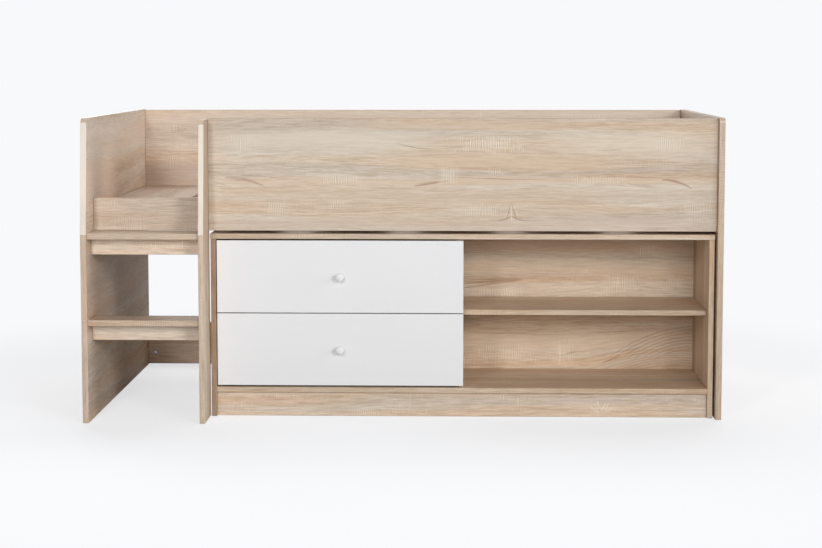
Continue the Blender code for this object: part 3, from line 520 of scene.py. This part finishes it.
def burst_of_flakes(along, foot, count=13):
    """Pale flakes, as knots, that fan out from one point at the plinth's foot."""
    flakes = []
    for number in range(count):
        lean = (number - count // 2) * 0.30
        reach = 0.027 + 0.007 * ((number * 7) % 3 - 1)
        stretch = math.hypot(1.0, lean)
        half = (0.010 + 0.004 * ((number * 5) % 3)) / stretch
        curve = 0.003 * ((number * 4) % 3 - 1)
        width = 0.0036 + 0.0016 * (number % 2)
        strength = 0.34 + 0.10 * ((number * 4) % 3)
        flakes.append((along + reach * lean / stretch, foot + reach / stretch, half, lean, curve,
                       width, strength, (238, 229, 213)))
    return flakes


# ---------------------------------------------------------------- oak boards
AXES = {"x": 0, "y": 1, "z": 2}
TAPE = (0.965, 0.915, 0.860)
# painted sheen of the edges that lean back: their paler, more neutral tone and how far it goes
TAPE_LEAN_SHEEN = (0.930, 0.938, 0.930)
LEAN_SHEEN_TONE, LEAN_SHEEN_SHARE = (243, 234, 220), 0.55
GLUE_BROWN, GLUE_SHARE = (120, 92, 72), 0.42
WIDE_FADE = 0.15
OAK_ROUGHNESS, BACK_ROUGHNESS, RIM_POLISH = 0.44, 0.50, -0.05


def bend_of(net, a, b, flames):
    """How far flames lift the growth lines at (a, b): a smooth hump each."""
    bend = 0.0
    for along, across, length, width, lift in flames:
        da = net.math("DIVIDE", net.math("SUBTRACT", a, along), length)
        db = net.math("DIVIDE", net.math("SUBTRACT", b, across), width)
        far = net.math("MULTIPLY_ADD", da, da, net.times(db, db))
        hump = net.math("DIVIDE", lift, net.math("ADD", net.times(far, far), 1.0))
        bend = net.math("ADD", hump, bend)
    return bend


def with_wide(net, colour, a, b, seed, wide):
    """Broad tones laid over the print, whose edges wander a little across the grain. On some boards
    they are painted light and shade.
    """
    wander = net.off_middle(net.grain_noise(a, 1.8, b, 5.0, seed, 2.0), 0.05, b)
    for start, end, across, half, rgb, strength in wide:
        off = net.math("DIVIDE", net.distance(wander, across), half)
        reach = net.times(net.spread(a, start - WIDE_FADE, start + WIDE_FADE),
                          net.spread(a, end - WIDE_FADE, end + WIDE_FADE, 1.0, 0.0))
        colour = net.toward(colour, rgb, net.spread(off, 0.3, 1.3, strength, 0.0), reach)
    return colour


def with_knots(net, colour, a, b, seed, knots):
    upright = net.join(b, a, seed)
    for along, across, length, lean, curve, width, strength, rgb in knots:
        found = group_node(net, STROKE, Print=upright, Along=across, Across=along, Length=length,
                           Slope=lean, Curve=curve, Width=width)
        colour = net.toward(colour, rgb, found["Share"], strength)
    return colour


def with_strokes(net, colour, spot, strokes):
    for along, across, length, slope, curve, width, strength in strokes:
        found = group_node(net, STROKE, Print=spot, Along=along, Across=across, Length=length,
                           Slope=slope, Curve=curve, Width=width)
        colour = net.toward(colour, STROKE_BROWN, found["Share"], strength)
    return colour


def with_patches(net, colour, spot, a, b, seed, patches):
    teeth = saw_teeth(net, a, b, seed, 1180.0, 20.0)
    between = net.math("SUBTRACT", 1.0, teeth)
    for along, across, length, width, strength in patches:
        found = group_node(net, PATCH, Print=spot, Along=along, Across=across, Length=length,
                           Width=width)
        pale, deep = net.times(found["Share"], teeth), net.times(found["Share"], between)
        colour = net.toward(colour, PATCH_PALE, pale, strength * 0.75)
        colour = net.toward(colour, PATCH_DEEP, deep, strength * 0.30)
    return colour


def oak(node, grain, seed, tone=1.0, marks=1.0, figure=1.0, strokes=(), patches=(), flames=(),
        wide=(), knots=(), tint=(1.0, 1.0, 1.0), tape=1.0, roughness=OAK_ROUGHNESS):
    """Printed board material. grain is the axis the print runs along; the thinnest axis is the
    board's thickness. tape is the tone of the taped edges."""
    low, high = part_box(node)
    size = high - low
    ia = AXES[grain]
    ib = max((i for i in range(3) if i != ia), key=lambda i: size[i])
    ic = 3 - ia - ib
    material, net, shader = new_material("oak_" + node)
    coordinates = net.add("ShaderNodeTexCoord").outputs

    def turned(value):
        """A vector as (along the grain, across it, through the board)."""
        parts = net.split(value)
        return net.join(parts[ia], parts[ib], parts[ic])

    middle = (low + high) / 2
    place = turned(coordinates["Object"])
    board = group_node(net, BOARD_FACES, Place=place, Normal=turned(coordinates["Normal"]),
                       Middle=(middle[ia], middle[ib], middle[ic]),
                       Half=(size[ia] / 2, size[ib] / 2, size[ic] / 2),
                       Shift=(seed * 0.731, seed * 0.317, seed * 1.913))
    spot = net.vector("ADD", place, (0.0, 0.0, seed))
    a, b, _ = net.split(spot)
    made = group_node(net, OAK_PRINT, Print=board["Print"], Marks=marks, Figure=figure,
                      Bend=bend_of(net, a, b, flames))
    colour = made["Colour"]
    if wide:
        colour = with_wide(net, colour, a, b, seed, wide)
    colour = with_knots(net, colour, a, b, seed, knots)
    colour = with_strokes(net, colour, spot, strokes)
    if patches:
        colour = with_patches(net, colour, spot, a, b, seed, patches)

    # the taped edges have their own tone; where an edge leans back it is painted paler and more
    # neutral, a painted sheen that stands in for the light it catches from above
    _, _, tilt = net.split(coordinates["Normal"])
    lean = net.times(net.spread(tilt, 0.03, 0.07), net.spread(tilt, 0.25, 0.35, 1.0, 0.0))
    lean = net.times(lean, board["Edge"])
    colour = net.toward(colour, LEAN_SHEEN_TONE, lean, LEAN_SHEEN_SHARE)
    colour = net.toward(colour, GLUE_BROWN, board["Glue Line"], GLUE_SHARE)
    taped = net.blend(lean, dimmed(TAPE, tape), dimmed(TAPE_LEAN_SHEEN, tape))
    colour = net.blend(1.0, colour, net.blend(board["Edge"], WHITE, taped), "MULTIPLY")
    # the board's tone and tint; on several boards this is painted light, paler or warmer to make up
    # for the shade they lie in
    colour = net.blend(1.0, colour, dimmed(tint, tone), "MULTIPLY")
    net.feed(shader["Base Color"], colour)
    printed = net.math("ADD", roughness, made["Gloss"])
    worn = net.times(board["Rim"], RIM_POLISH)
    net.feed(shader["Roughness"], net.math("ADD", printed, worn))
    shader["Specular IOR Level"].default_value = 0.42
    net.feed(shader["Normal"], net.bump(made["Height"], 0.30, 0.0004))
    return material


def dress(node, material):
    """Puts one material on a CAD node."""
    data = NODES[node].data
    data.materials.clear()
    data.materials.append(material)
    for polygon in data.polygons:
        polygon.material_index = 0


OAK_BOARDS = {
    # node: (grain axis, seed, tone, saw marks, figure, tone of the taped edges); the tones are in
    # part painted light: boards in shade, as the riser rails under the treads, the rear guard and
    # the chest's inside, are made paler, and the chest's left side has its taped edges darkened,
    # painted shade of the ladder upright on its front edge
    "end_panel_left": ("y", 3.0, 1.10, 0.7, 1.1, 0.92),
    "end_panel_right": ("y", 5.0, 1.0, 0.7, 1.1, 0.88),
    "guard_panel_rear": ("x", 11.0, 1.08, 0.8, 1.0, 1.0),
    "entry_rail": ("x", 13.0, 0.96, 0.8, 0.8, 1.0),
    "ladder_upright": ("z", 17.0, 0.96, 0.4, 0.7, 1.07),
    "tread_lower": ("x", 19.0, 0.97, 0.7, 0.8, 0.97),
    "tread_upper": ("x", 23.0, 1.0, 0.7, 0.8, 0.92),
    "riser_rail_lower": ("x", 29.0, 1.25, 0.8, 0.7, 1.0),
    "riser_rail_upper": ("x", 33.5, 1.31, 0.8, 0.5, 1.0),
    "rear_lower_rail": ("x", 37.0, 0.92, 0.8, 0.8, 1.0),
    "chest_top": ("x", 41.0, 0.97, 0.7, 0.9, 0.95),
    "chest_side_left": ("z", 43.0, 0.97, 0.5, 0.8, 0.75),
    "chest_side_right": ("z", 47.0, 1.11, 0.5, 0.8, 0.90),
    "chest_divider": ("z", 53.0, 1.0, 0.5, 0.8, 0.97),
    "chest_bottom": ("x", 59.0, 1.08, 0.7, 0.9, 0.83),
    "chest_plinth_front": ("x", 61.0, 1.06, 0.8, 0.9, 1.0),
    "chest_plinth_rear": ("x", 67.0, 1.0, 0.8, 0.9, 1.0),
    "chest_shelf": ("x", 71.0, 1.20, 0.7, 0.9, 0.72),
}
BASE_BOARDS = range(1, 7)
for number in BASE_BOARDS:
    OAK_BOARDS["base_board_%d" % number] = ("y", 70.0 + 7.0 * number, 0.96, 0.6, 0.8, 1.0)

BOARD_WIDE = {
    "end_panel_left": PANEL_PAINTED_LIGHT_AND_SHADE,
    "chest_plinth_front": PLINTH_WIDE,
    "guard_panel_rear": REAR_PAINTED_LIGHT_AND_SHADE,
    "chest_side_right": SIDE_PAINTED_LIGHT_AND_SHADE,
    "base_board_1": BASE_PAINTED_LIGHT_AND_SHADE,
}
BOARD_KNOTS = {"chest_plinth_front": burst_of_flakes(0.611, 0.006)}
# a warm tint on the chest's inside, painted light: the warm light bounced between its oak boards
PAINTED_WARM_BOUNCE = (0.99, 0.955, 0.905)
BOARD_TINTS = {
    # the rear rail's warm tint is painted warm bounce light in its shade
    "rear_lower_rail": (1.0, 0.92, 0.86),
    "end_panel_right": (0.985, 0.955, 0.920),
    "tread_upper": (0.955, 0.925, 0.895),
    "tread_lower": (0.97, 0.94, 0.92),
    "entry_rail": (0.97, 0.93, 0.91),
    "guard_panel_rear": (1.04, 1.04, 1.05),
    "chest_side_left": PAINTED_WARM_BOUNCE,
    "chest_side_right": PAINTED_WARM_BOUNCE,
    "chest_divider": PAINTED_WARM_BOUNCE,
    "chest_bottom": PAINTED_WARM_BOUNCE,
    # the shelf's warm tint is painted warm bounce light inside the chest
    "chest_shelf": (0.97, 0.925, 0.865),
}

for node, (grain, seed, tone, marks, figure, tape) in OAK_BOARDS.items():
    dress(node, oak(node, grain, seed, tone, marks, figure, wide=BOARD_WIDE.get(node, ()),
                    knots=BOARD_KNOTS.get(node, ()), tint=BOARD_TINTS.get(node, (1.0, 1.0, 1.0)),
                    tape=tape))
dress("guard_panel_front", oak("guard_panel_front", "x", 7.0, 0.91, 0.25, 0.8,
                               strokes=GUARD_STROKES, patches=GUARD_PATCHES, wide=GUARD_WIDE,
                               knots=GUARD_KNOTS))
dress("chest_back", oak("chest_back", "x", 79.0, 1.02, 0.7, 0.9,
                        strokes=BACK_STROKES + nested_arches(), patches=BACK_PATCHES,
                        flames=BACK_FLAMES, wide=BACK_PAINTED_LIGHT_AND_SHADE, knots=BACK_KNOTS, tint=PAINTED_WARM_BOUNCE,
                        roughness=BACK_ROUGHNESS))


# ---------------------------------------------------------------- white boards, pine, plastic, zinc
def white_board(name, rgb, roughness, line_share, seed):
    """Melamine or foil: a faint pearl structure, faint lines and a slightly uneven shine."""
    material, net, shader = new_material(name)
    place = net.add("ShaderNodeTexCoord").outputs["Object"]
    x, y, z = net.split(place)

    def stretched(across, upright, scale, detail):
        up = net.math("MULTIPLY_ADD", z, upright, seed)
        where = net.join(net.times(x, across), net.times(y, across), up)
        return net.noise(where, scale, detail, 0.6)

    pearl = stretched(90.0, 90.0, 6.0, 2.0)
    lines = stretched(4.0, 220.0, 1.0, 3.0)
    cloud = net.noise(place, 3.0, 2.0, 0.5)
    base = linear(rgb)
    dim = dimmed(base, 0.955)
    colour = net.blend(net.spread(lines, 0.3, 0.7, line_share, 0.0), base, dim)
    colour = net.blend(net.spread(cloud, 0.3, 0.7, 0.35, 0.0), colour, dim)
    net.feed(shader["Base Color"], colour)
    net.feed(shader["Roughness"], net.math("MULTIPLY_ADD", pearl, 0.12, roughness))
    shader["Specular IOR Level"].default_value = 0.45
    net.feed(shader["Normal"], net.bump(pearl, 0.12, 0.0002))
    return material


def pine(name, seed):
    """Planed softwood: yellow-white early wood, darker late wood lines and a few pin knots."""
    material, net, shader = new_material(name)
    x, y, z = net.split(net.add("ShaderNodeTexCoord").outputs["Object"])
    across = net.math("ADD", net.times(y, 0.8), z)
    sway = net.grain_noise(x, 2.2, across, 20.0, seed, 2.0)
    phase = net.math("MULTIPLY_ADD", sway, 2.4, net.times(across, 240.0))
    rings = net.math("FRACT", phase)
    late = net.times(net.spread(rings, 0.0, 0.75), net.spread(rings, 0.82, 1.0, 1.0, 0.0))
    fibre = net.grain_noise(x, 30.0, across, 900.0, seed, 2.0)
    colour = net.toward(linear((231, 205, 160)), (202, 158, 104), late, 0.75)
    knots = net.add("ShaderNodeTexVoronoi", feature="F1")
    net.feed(knots.inputs["Vector"], net.join(net.times(x, 3.0), net.times(across, 18.0), seed))
    knots.inputs["Scale"].default_value = 1.0
    knot = net.spread(knots.outputs["Distance"], 0.06, 0.13, 0.85, 0.0)
    colour = net.toward(colour, (140, 90, 52), knot)
    colour = net.toward(colour, (214, 180, 130), net.spread(fibre, 0.35, 0.7, 0.0, 0.3))
    net.feed(shader["Base Color"], colour)
    net.feed(shader["Roughness"], net.math("MULTIPLY_ADD", fibre, 0.15, 0.55))
    net.feed(shader["Normal"], net.bump(fibre, 0.3, 0.0003))
    return material


def plastic(name, rgb, roughness):
    """Moulded plastic: fine spark-eroded grain and a faint flow pattern."""
    material, net, shader = new_material(name)
    place = net.add("ShaderNodeTexCoord").outputs["Object"]
    grain = net.noise(place, 1500.0, 2.0, 0.6)
    flow = net.noise(place, 60.0, 2.0, 0.5)
    base = linear(rgb)
    colour = net.blend(net.spread(flow, 0.3, 0.7), base, dimmed(base, 0.95))
    net.feed(shader["Base Color"], colour)
    net.feed(shader["Roughness"], net.math("MULTIPLY_ADD", grain, 0.12, roughness))
    shader["Specular IOR Level"].default_value = 0.5
    net.feed(shader["Normal"], net.bump(grain, 0.10, 0.0001))
    return material


def zinc(name):
    """Plated die-cast metal: blue-grey with spangle and small pits."""
    material, net, shader = new_material(name)
    place = net.add("ShaderNodeTexCoord").outputs["Object"]
    spangle = net.add("ShaderNodeTexVoronoi", feature="F1")
    net.feed(spangle.inputs["Vector"], place)
    spangle.inputs["Scale"].default_value = 900.0
    grain = net.noise(place, 700.0, 3.0, 0.6)
    tone = net.spread(spangle.outputs["Distance"], 0.1, 0.8)
    net.feed(shader["Base Color"], net.toward(linear((168, 176, 190)), (198, 204, 214), tone))
    shader["Metallic"].default_value = 1.0
    net.feed(shader["Roughness"], net.math("MULTIPLY_ADD", grain, 0.22, 0.26))
    net.feed(shader["Normal"], net.bump(grain, 0.2, 0.0001))
    return material


WHITE_FRONT = white_board("white_melamine_front", (222, 222, 223), 0.36, 0.20, 1.0)
DRAWER_BOX = white_board("drawer_box_foil", (224, 224, 222), 0.50, 0.8, 5.0)
PINE = pine("planed_pine", 4.0)
WHITE_PLASTIC = plastic("white_plastic", (236, 236, 238), 0.30)
KNOB_PLASTIC = plastic("knob_plastic", (222, 222, 223), 0.46)
ZINC = zinc("zinc_plate")

for level in ("lower", "upper"):
    dress("drawer_%s_front" % level, WHITE_FRONT)
    for part in ("side_left", "side_right", "back", "bottom"):
        dress("drawer_%s_%s" % (level, part), DRAWER_BOX)
    dress("knob_%s" % level, KNOB_PLASTIC)
    dress("knob_screw_%s" % level, ZINC)
    for side in ("left", "right"):
        dress("runner_%s_%s" % (level, side), WHITE_PLASTIC)
for node in NODES:
    if node.startswith("slat_ledger"):
        dress(node, PINE)
    elif node.startswith(("rear_rail_cam", "rear_rail_bolt", "shelf_pin")):
        dress(node, ZINC)


# ---------------------------------------------------------------- turned shapes in mesh code
RECESS_TAPER = 0.62
SHARP_FROM = math.radians(40.0)


def frame_of(outward):
    """Two sides and the outward direction as a right-handed frame."""
    out = Vector(outward).normalized()
    upright = abs(out.z) >= 0.9
    side = Vector((1.0, 0.0, 0.0)) if upright else Vector((0.0, 0.0, 1.0)).cross(out)
    side.normalize()
    return side, out.cross(side), out


def ring(mesh, radius, height, count, centre, axes):
    """A circle of vertices at a height above the centre."""
    side, up, out = axes
    made = []
    for i in range(count):
        turn = 2 * math.pi * i / count
        spot = centre + side * (radius * math.cos(turn)) + up * (radius * math.sin(turn))
        made.append(mesh.verts.new(spot + out * height))
    return made


def bridge(mesh, first, second):
    """Quads between two loops of as many vertices."""
    for i in range(len(first)):
        j = (i + 1) % len(first)
        mesh.faces.new((first[i], first[j], second[j], second[i]))


def turned_wall(mesh, profile, centre, axes, count):
    """The wall of a turned shape from (radius, height) points, closed at its foot."""
    rings = [ring(mesh, radius, height, count, centre, axes) for radius, height in profile]
    mesh.faces.new(list(reversed(rings[0])))
    for first, second in zip(rings, rings[1:]):
        bridge(mesh, first, second)
    return rings[-1]


def turned_shape(mesh, profile, centre, outward, count=32):
    """A turned shape from (radius, height) points, closed at both ends."""
    mesh.faces.new(turned_wall(mesh, profile, Vector(centre), frame_of(outward), count))


def recessed_disc(mesh, profile, recess, centre, outward, count=32):
    """A turned shape whose flat top has a cross recess: (reach, half width, depth)."""
    side, up, out = axes = frame_of(outward)
    centre = Vector(centre)
    top_ring = turned_wall(mesh, profile, centre, axes, count)
    reach, half, depth = recess
    corners = []
    for quarter in range(4):
        turn = math.pi / 2 * quarter
        c, s = math.cos(turn), math.sin(turn)
        for a, b in ((reach, -half), (reach, half), (half, half)):
            corners.append((a * c - b * s, a * s + b * c))
    top = profile[-1][1]

    def cross(share, height):
        return [mesh.verts.new(centre + side * (a * share) + up * (b * share) + out * height)
                for a, b in corners]

    edge, floor = cross(1.0, top), cross(RECESS_TAPER, top - depth)
    bridge(mesh, edge, floor)
    mesh.faces.new(floor)
    outline = []
    for loop in (top_ring, edge):
        for i in range(len(loop)):
            pair = (loop[i], loop[(i + 1) % len(loop)])
            outline.append(mesh.edges.get(pair) or mesh.edges.new(pair))
    bmesh.ops.triangle_fill(mesh, use_beauty=True, edges=outline, normal=out)


def finish_piece(name, mesh, material, body):
    """Makes a mesh into a piece that rides on a body."""
    bmesh.ops.recalc_face_normals(mesh, faces=mesh.faces)
    data = bpy.data.meshes.new(name)
    mesh.to_mesh(data)
    mesh.free()
    piece = bpy.data.objects.new(name, data)
    bpy.context.scene.collection.objects.link(piece)
    data.materials.append(material)
    data.shade_smooth()
    data.set_sharp_from_angle(angle=SHARP_FROM)
    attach(piece, body)
    return piece


# ---------------------------------------------------------------- screws, cover caps and cams
SCREW_HEAD = [(0.0026, -0.0012), (0.0040, -0.00005), (0.0040, 0.0003), (0.0034, 0.0007),
              (0.0026, 0.0009)]
PAN_HEAD = [(0.0036, 0.0), (0.0040, 0.0005), (0.0039, 0.0014), (0.0033, 0.0021),
            (0.0025, 0.0024)]
CROSS = (0.0019, 0.00045, 0.0012)
COVER_CAP = [(0.0088, 0.0), (0.0090, 0.0004), (0.0088, 0.0009), (0.0083, 0.0012),
             (0.0076, 0.00125), (0.0071, 0.0011), (0.0060, 0.0010), (0.0030, 0.0010)]
SCREWS_OVER_BOARD = (0.2, 0.8)
SCREWS_OVER_LEDGER = (0.04, 0.27, 0.5, 0.73, 0.96)
CAP_FROM_END = 0.0245
CAP_HEIGHTS = {
    # board: heights above its foot, on its rear face
    "guard_panel_rear": (0.115, 0.300),
    "guard_panel_front": (0.130, 0.300),
    "entry_rail": (0.0885,),
    "riser_rail_lower": (0.026,),
    "riser_rail_upper": (0.026,),
}
CAM_RECESS, CAM_SIDES = (0.0031, 0.0008, 0.0045), 48
ARROW_TIP, ARROW_BACK, ARROW_HALF = 0.0058, 0.0044, 0.0010
ARROW_SUNK = (0.0001, 0.0006)  # how far its face and its foot lie behind the disc's front


def make_screws(name, profile, spots, outward):
    mesh = bmesh.new()
    for spot in spots:
        recessed_disc(mesh, profile, CROSS, spot, outward)
    finish_piece(name, mesh, ZINC, "bed_frame")


def make_caps(board, heights):
    low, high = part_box(board)
    mesh = bmesh.new()
    for x in (low.x + CAP_FROM_END, high.x - CAP_FROM_END):
        for height in heights:
            turned_shape(mesh, COVER_CAP, (x, high.y, low.z + height), (0.0, 1.0, 0.0))
    finish_piece("cover_caps_" + board, mesh, WHITE_PLASTIC, "bed_frame")


def make_ledger_screws(side):
    """The screws down through the base boards, and those that hold the ledger to its guard."""
    low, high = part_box("slat_ledger_" + side)
    middle = (low + high) / 2
    heads = []
    for number in BASE_BOARDS:
        board_low, board_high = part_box("base_board_%d" % number)
        for share in SCREWS_OVER_BOARD:
            x = board_low.x + (board_high.x - board_low.x) * share
            heads.append((x, middle.y, board_high.z))
    make_screws("base_screws_" + side, SCREW_HEAD, heads, (0.0, 0.0, 1.0))
    inward, face = (1.0, high.y) if side == "front" else (-1.0, low.y)
    heads = [(low.x + (high.x - low.x) * share, face, middle.z) for share in SCREWS_OVER_LEDGER]
    make_screws("ledger_screws_" + side, PAN_HEAD, heads, (0.0, inward, 0.0))


def make_cam(tag):
    """The cam disc with its rim, dished face, cross recess and the arrow towards its bolt."""
    node = "rear_rail_cam_" + tag
    low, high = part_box(node)
    middle = (low + high) / 2
    radius, depth = (high.x - low.x) / 2, high.y - low.y
    mesh = bmesh.new()
    profile = [(radius - 0.0006, -depth), (radius, -depth + 0.0006), (radius, -0.0004),
               (radius - 0.0004, 0.0), (radius - 0.0012, 0.0), (radius - 0.0015, -0.0004),
               (0.0042, -0.0004), (0.0038, -0.0001)]
    centre = (middle.x, low.y, middle.z)
    recessed_disc(mesh, profile, CAM_RECESS, centre, (0.0, -1.0, 0.0), CAM_SIDES)
    toward = -1.0 if middle.x < 0 else 1.0
    tip, back = middle.x + toward * ARROW_TIP, middle.x + toward * ARROW_BACK
    corners = [(tip, middle.z), (back, middle.z + ARROW_HALF), (back, middle.z - ARROW_HALF)]
    face, foot = ([mesh.verts.new((x, low.y + sunk, z)) for x, z in corners]
                  for sunk in ARROW_SUNK)
    bridge(mesh, face, foot)
    mesh.faces.new(face)
    mesh.faces.new(list(reversed(foot)))
    piece = finish_piece("cam_" + tag, mesh, ZINC, "bed_frame")
    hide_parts(node)


for side in ("front", "rear"):
    make_ledger_screws(side)
for board, heights in CAP_HEIGHTS.items():
    make_caps(board, heights)
for side in ("left", "right"):
    for level in ("lower", "upper"):
        make_cam(side + "_" + level)


# ---------------------------------------------------------------- floor, world, lamps, camera
FLOOR_HALF, FLOOR_DROP = 60.0, 0.0005
FLOOR_GREYS = (196, 197, 199), (200, 201, 203)
# what the camera sees of the floor: its own share of light, which keeps the shadow, on a glow
SEEN_SHARE, SEEN_GLOW = 0.42, 0.665
SHADOW_ENDS = (1.2, 2.4)
FILL_STRENGTH = 0.05

PHOTO_WIDTH, FOCAL_PIXELS = 822, 1768.28
SENSOR_WIDTH = 36.0
CAMERA_PLACE = (0.1585, -5.8382, 1.0994)
CAMERA_DOWN, CAMERA_TURN = 5.0, 0.0253  # degrees below level, and radians to the left
CAMERA_SHIFT = -0.0698

MIDDLE = (0.0, -0.3, 0.45)
ORIGIN = (0.0, 0.0, 0.0)
LAMPS = [
    # name, kind, strength, place, what it points at, a softbox's two sides or a sun's degrees
    ("softbox_left_high", "AREA", 50.5, (-1.44, -5.10, 2.42), MIDDLE, (0.50, 0.70)),
    ("softbox_left_low", "AREA", 17.8, (-1.44, -5.10, 1.22), MIDDLE, (0.50, 1.10)),
    ("softbox_right", "AREA", 18.4, (1.60, -3.35, 1.22), MIDDLE, (0.40, 1.20)),
    ("softbox_far", "AREA", 16.5, (2.50, -5.20, 2.00), MIDDLE, (0.60, 0.60)),
    ("wall_front", "SUN", 0.64, (0.0, -1.0, 0.23), ORIGIN, 17.0),
    ("wall_front_right", "SUN", 0.64, (0.6, -0.8, 0.27), ORIGIN, 20.0),
    ("wall_right", "SUN", 0.79, (1.0, -0.25, 0.27), ORIGIN, 25.0),
    ("ceiling_back", "SUN", 1.05, (0.1, 0.55, 1.0), ORIGIN, 36.0),
    ("wall_back", "SUN", 1.15, (-0.45, 1.0, 0.28), ORIGIN, 30.0),
]


def mix_shaders(net, share, first, second):
    node = net.add("ShaderNodeMixShader")
    net.feed(node.inputs[0], share)
    net.feed(node.inputs[1], first.outputs[0])
    net.feed(node.inputs[2], second.outputs[0])
    return node


def emission(net, colour, strength):
    node = net.add("ShaderNodeEmission")
    node.inputs["Color"].default_value = colour
    node.inputs["Strength"].default_value = strength
    return node


def make_floor():
    """A large pale floor. Seen directly it keeps the paper's colour, less the bed's shadow."""
    mesh = bmesh.new()
    bmesh.ops.create_grid(mesh, x_segments=8, y_segments=8, size=FLOOR_HALF)
    data = bpy.data.meshes.new("studio_floor")
    mesh.to_mesh(data)
    mesh.free()
    floor = bpy.data.objects.new("studio_floor", data)
    floor.location.z = -FLOOR_DROP
    bpy.context.scene.collection.objects.link(floor)
    material = bpy.data.materials.new("studio_floor")
    material.use_nodes = True
    material.node_tree.nodes.clear()
    net = Net(material.node_tree)
    place = net.add("ShaderNodeTexCoord").outputs["Object"]
    x, y, _ = net.split(place)
    mottle = net.noise(place, 2.0, 2.0, 0.5)
    matt = net.add("ShaderNodeBsdfDiffuse")
    deep, pale = FLOOR_GREYS
    net.feed(matt.inputs["Color"], net.blend(mottle, linear(deep), linear(pale)))
    seen_matt = net.add("ShaderNodeBsdfDiffuse")
    seen_matt.inputs["Color"].default_value = dimmed(PAPER, SEEN_SHARE)
    near = net.add("ShaderNodeAddShader")
    net.feed(near.inputs[0], seen_matt.outputs[0])
    net.feed(near.inputs[1], emission(net, PAPER, SEEN_GLOW).outputs[0])
    distance = net.math("SQRT", net.math("ADD", net.times(x, x), net.times(y, y)))
    seen = mix_shaders(net, net.spread(distance, *SHADOW_ENDS), near, emission(net, PAPER, 1.0))
    ray = net.add("ShaderNodeLightPath")
    chosen = mix_shaders(net, ray.outputs["Is Camera Ray"], matt, seen)
    out = net.add("ShaderNodeOutputMaterial")
    net.feed(out.inputs["Surface"], chosen.outputs[0])
    data.materials.append(material)


def background(net, colour, strength):
    node = net.add("ShaderNodeBackground")
    node.inputs["Color"].default_value = colour
    node.inputs["Strength"].default_value = strength
    return node


def make_world():
    """A faint even fill on the bed, and the paper's colour to the camera and in reflections."""
    world = bpy.data.worlds.new("studio")
    bpy.context.scene.world = world
    world.use_nodes = True
    world.node_tree.nodes.clear()
    net = Net(world.node_tree)
    ray = net.add("ShaderNodeLightPath").outputs
    shows = net.math("MAXIMUM", ray["Is Camera Ray"], ray["Is Glossy Ray"])
    fill, paper = background(net, WHITE, FILL_STRENGTH), background(net, PAPER, 1.0)
    out = net.add("ShaderNodeOutputWorld")
    net.feed(out.inputs["Surface"], mix_shaders(net, shows, fill, paper).outputs[0])


def add_lamp(name, kind, energy, place, target, softness):
    """A lamp that only lights, and isn't seen by the camera."""
    data = bpy.data.lights.new(name, kind)
    data.energy = energy
    if kind == "AREA":
        data.shape = "RECTANGLE"
        data.size, data.size_y = softness
    else:
        data.angle = math.radians(softness)
    lamp = bpy.data.objects.new(name, data)
    lamp.location = place
    lamp.rotation_mode = "QUATERNION"
    lamp.rotation_quaternion = (Vector(place) - Vector(target)).to_track_quat("Z", "Y")
    lamp.visible_camera = False
    bpy.context.scene.collection.objects.link(lamp)


def make_camera():
    data = bpy.data.cameras.new("camera")
    data.sensor_width = SENSOR_WIDTH
    data.lens = FOCAL_PIXELS / PHOTO_WIDTH * SENSOR_WIDTH
    data.shift_y = CAMERA_SHIFT
    data.clip_end = 200.0
    camera = bpy.data.objects.new("camera", data)
    camera.location = CAMERA_PLACE
    camera.rotation_euler = (math.radians(90.0 - CAMERA_DOWN), 0.0, CAMERA_TURN)
    bpy.context.scene.collection.objects.link(camera)
    bpy.context.scene.camera = camera


make_floor()
make_world()
for lamp in LAMPS:
    add_lamp(*lamp)
make_camera()
bpy.context.scene.view_settings.view_transform = "Standard"
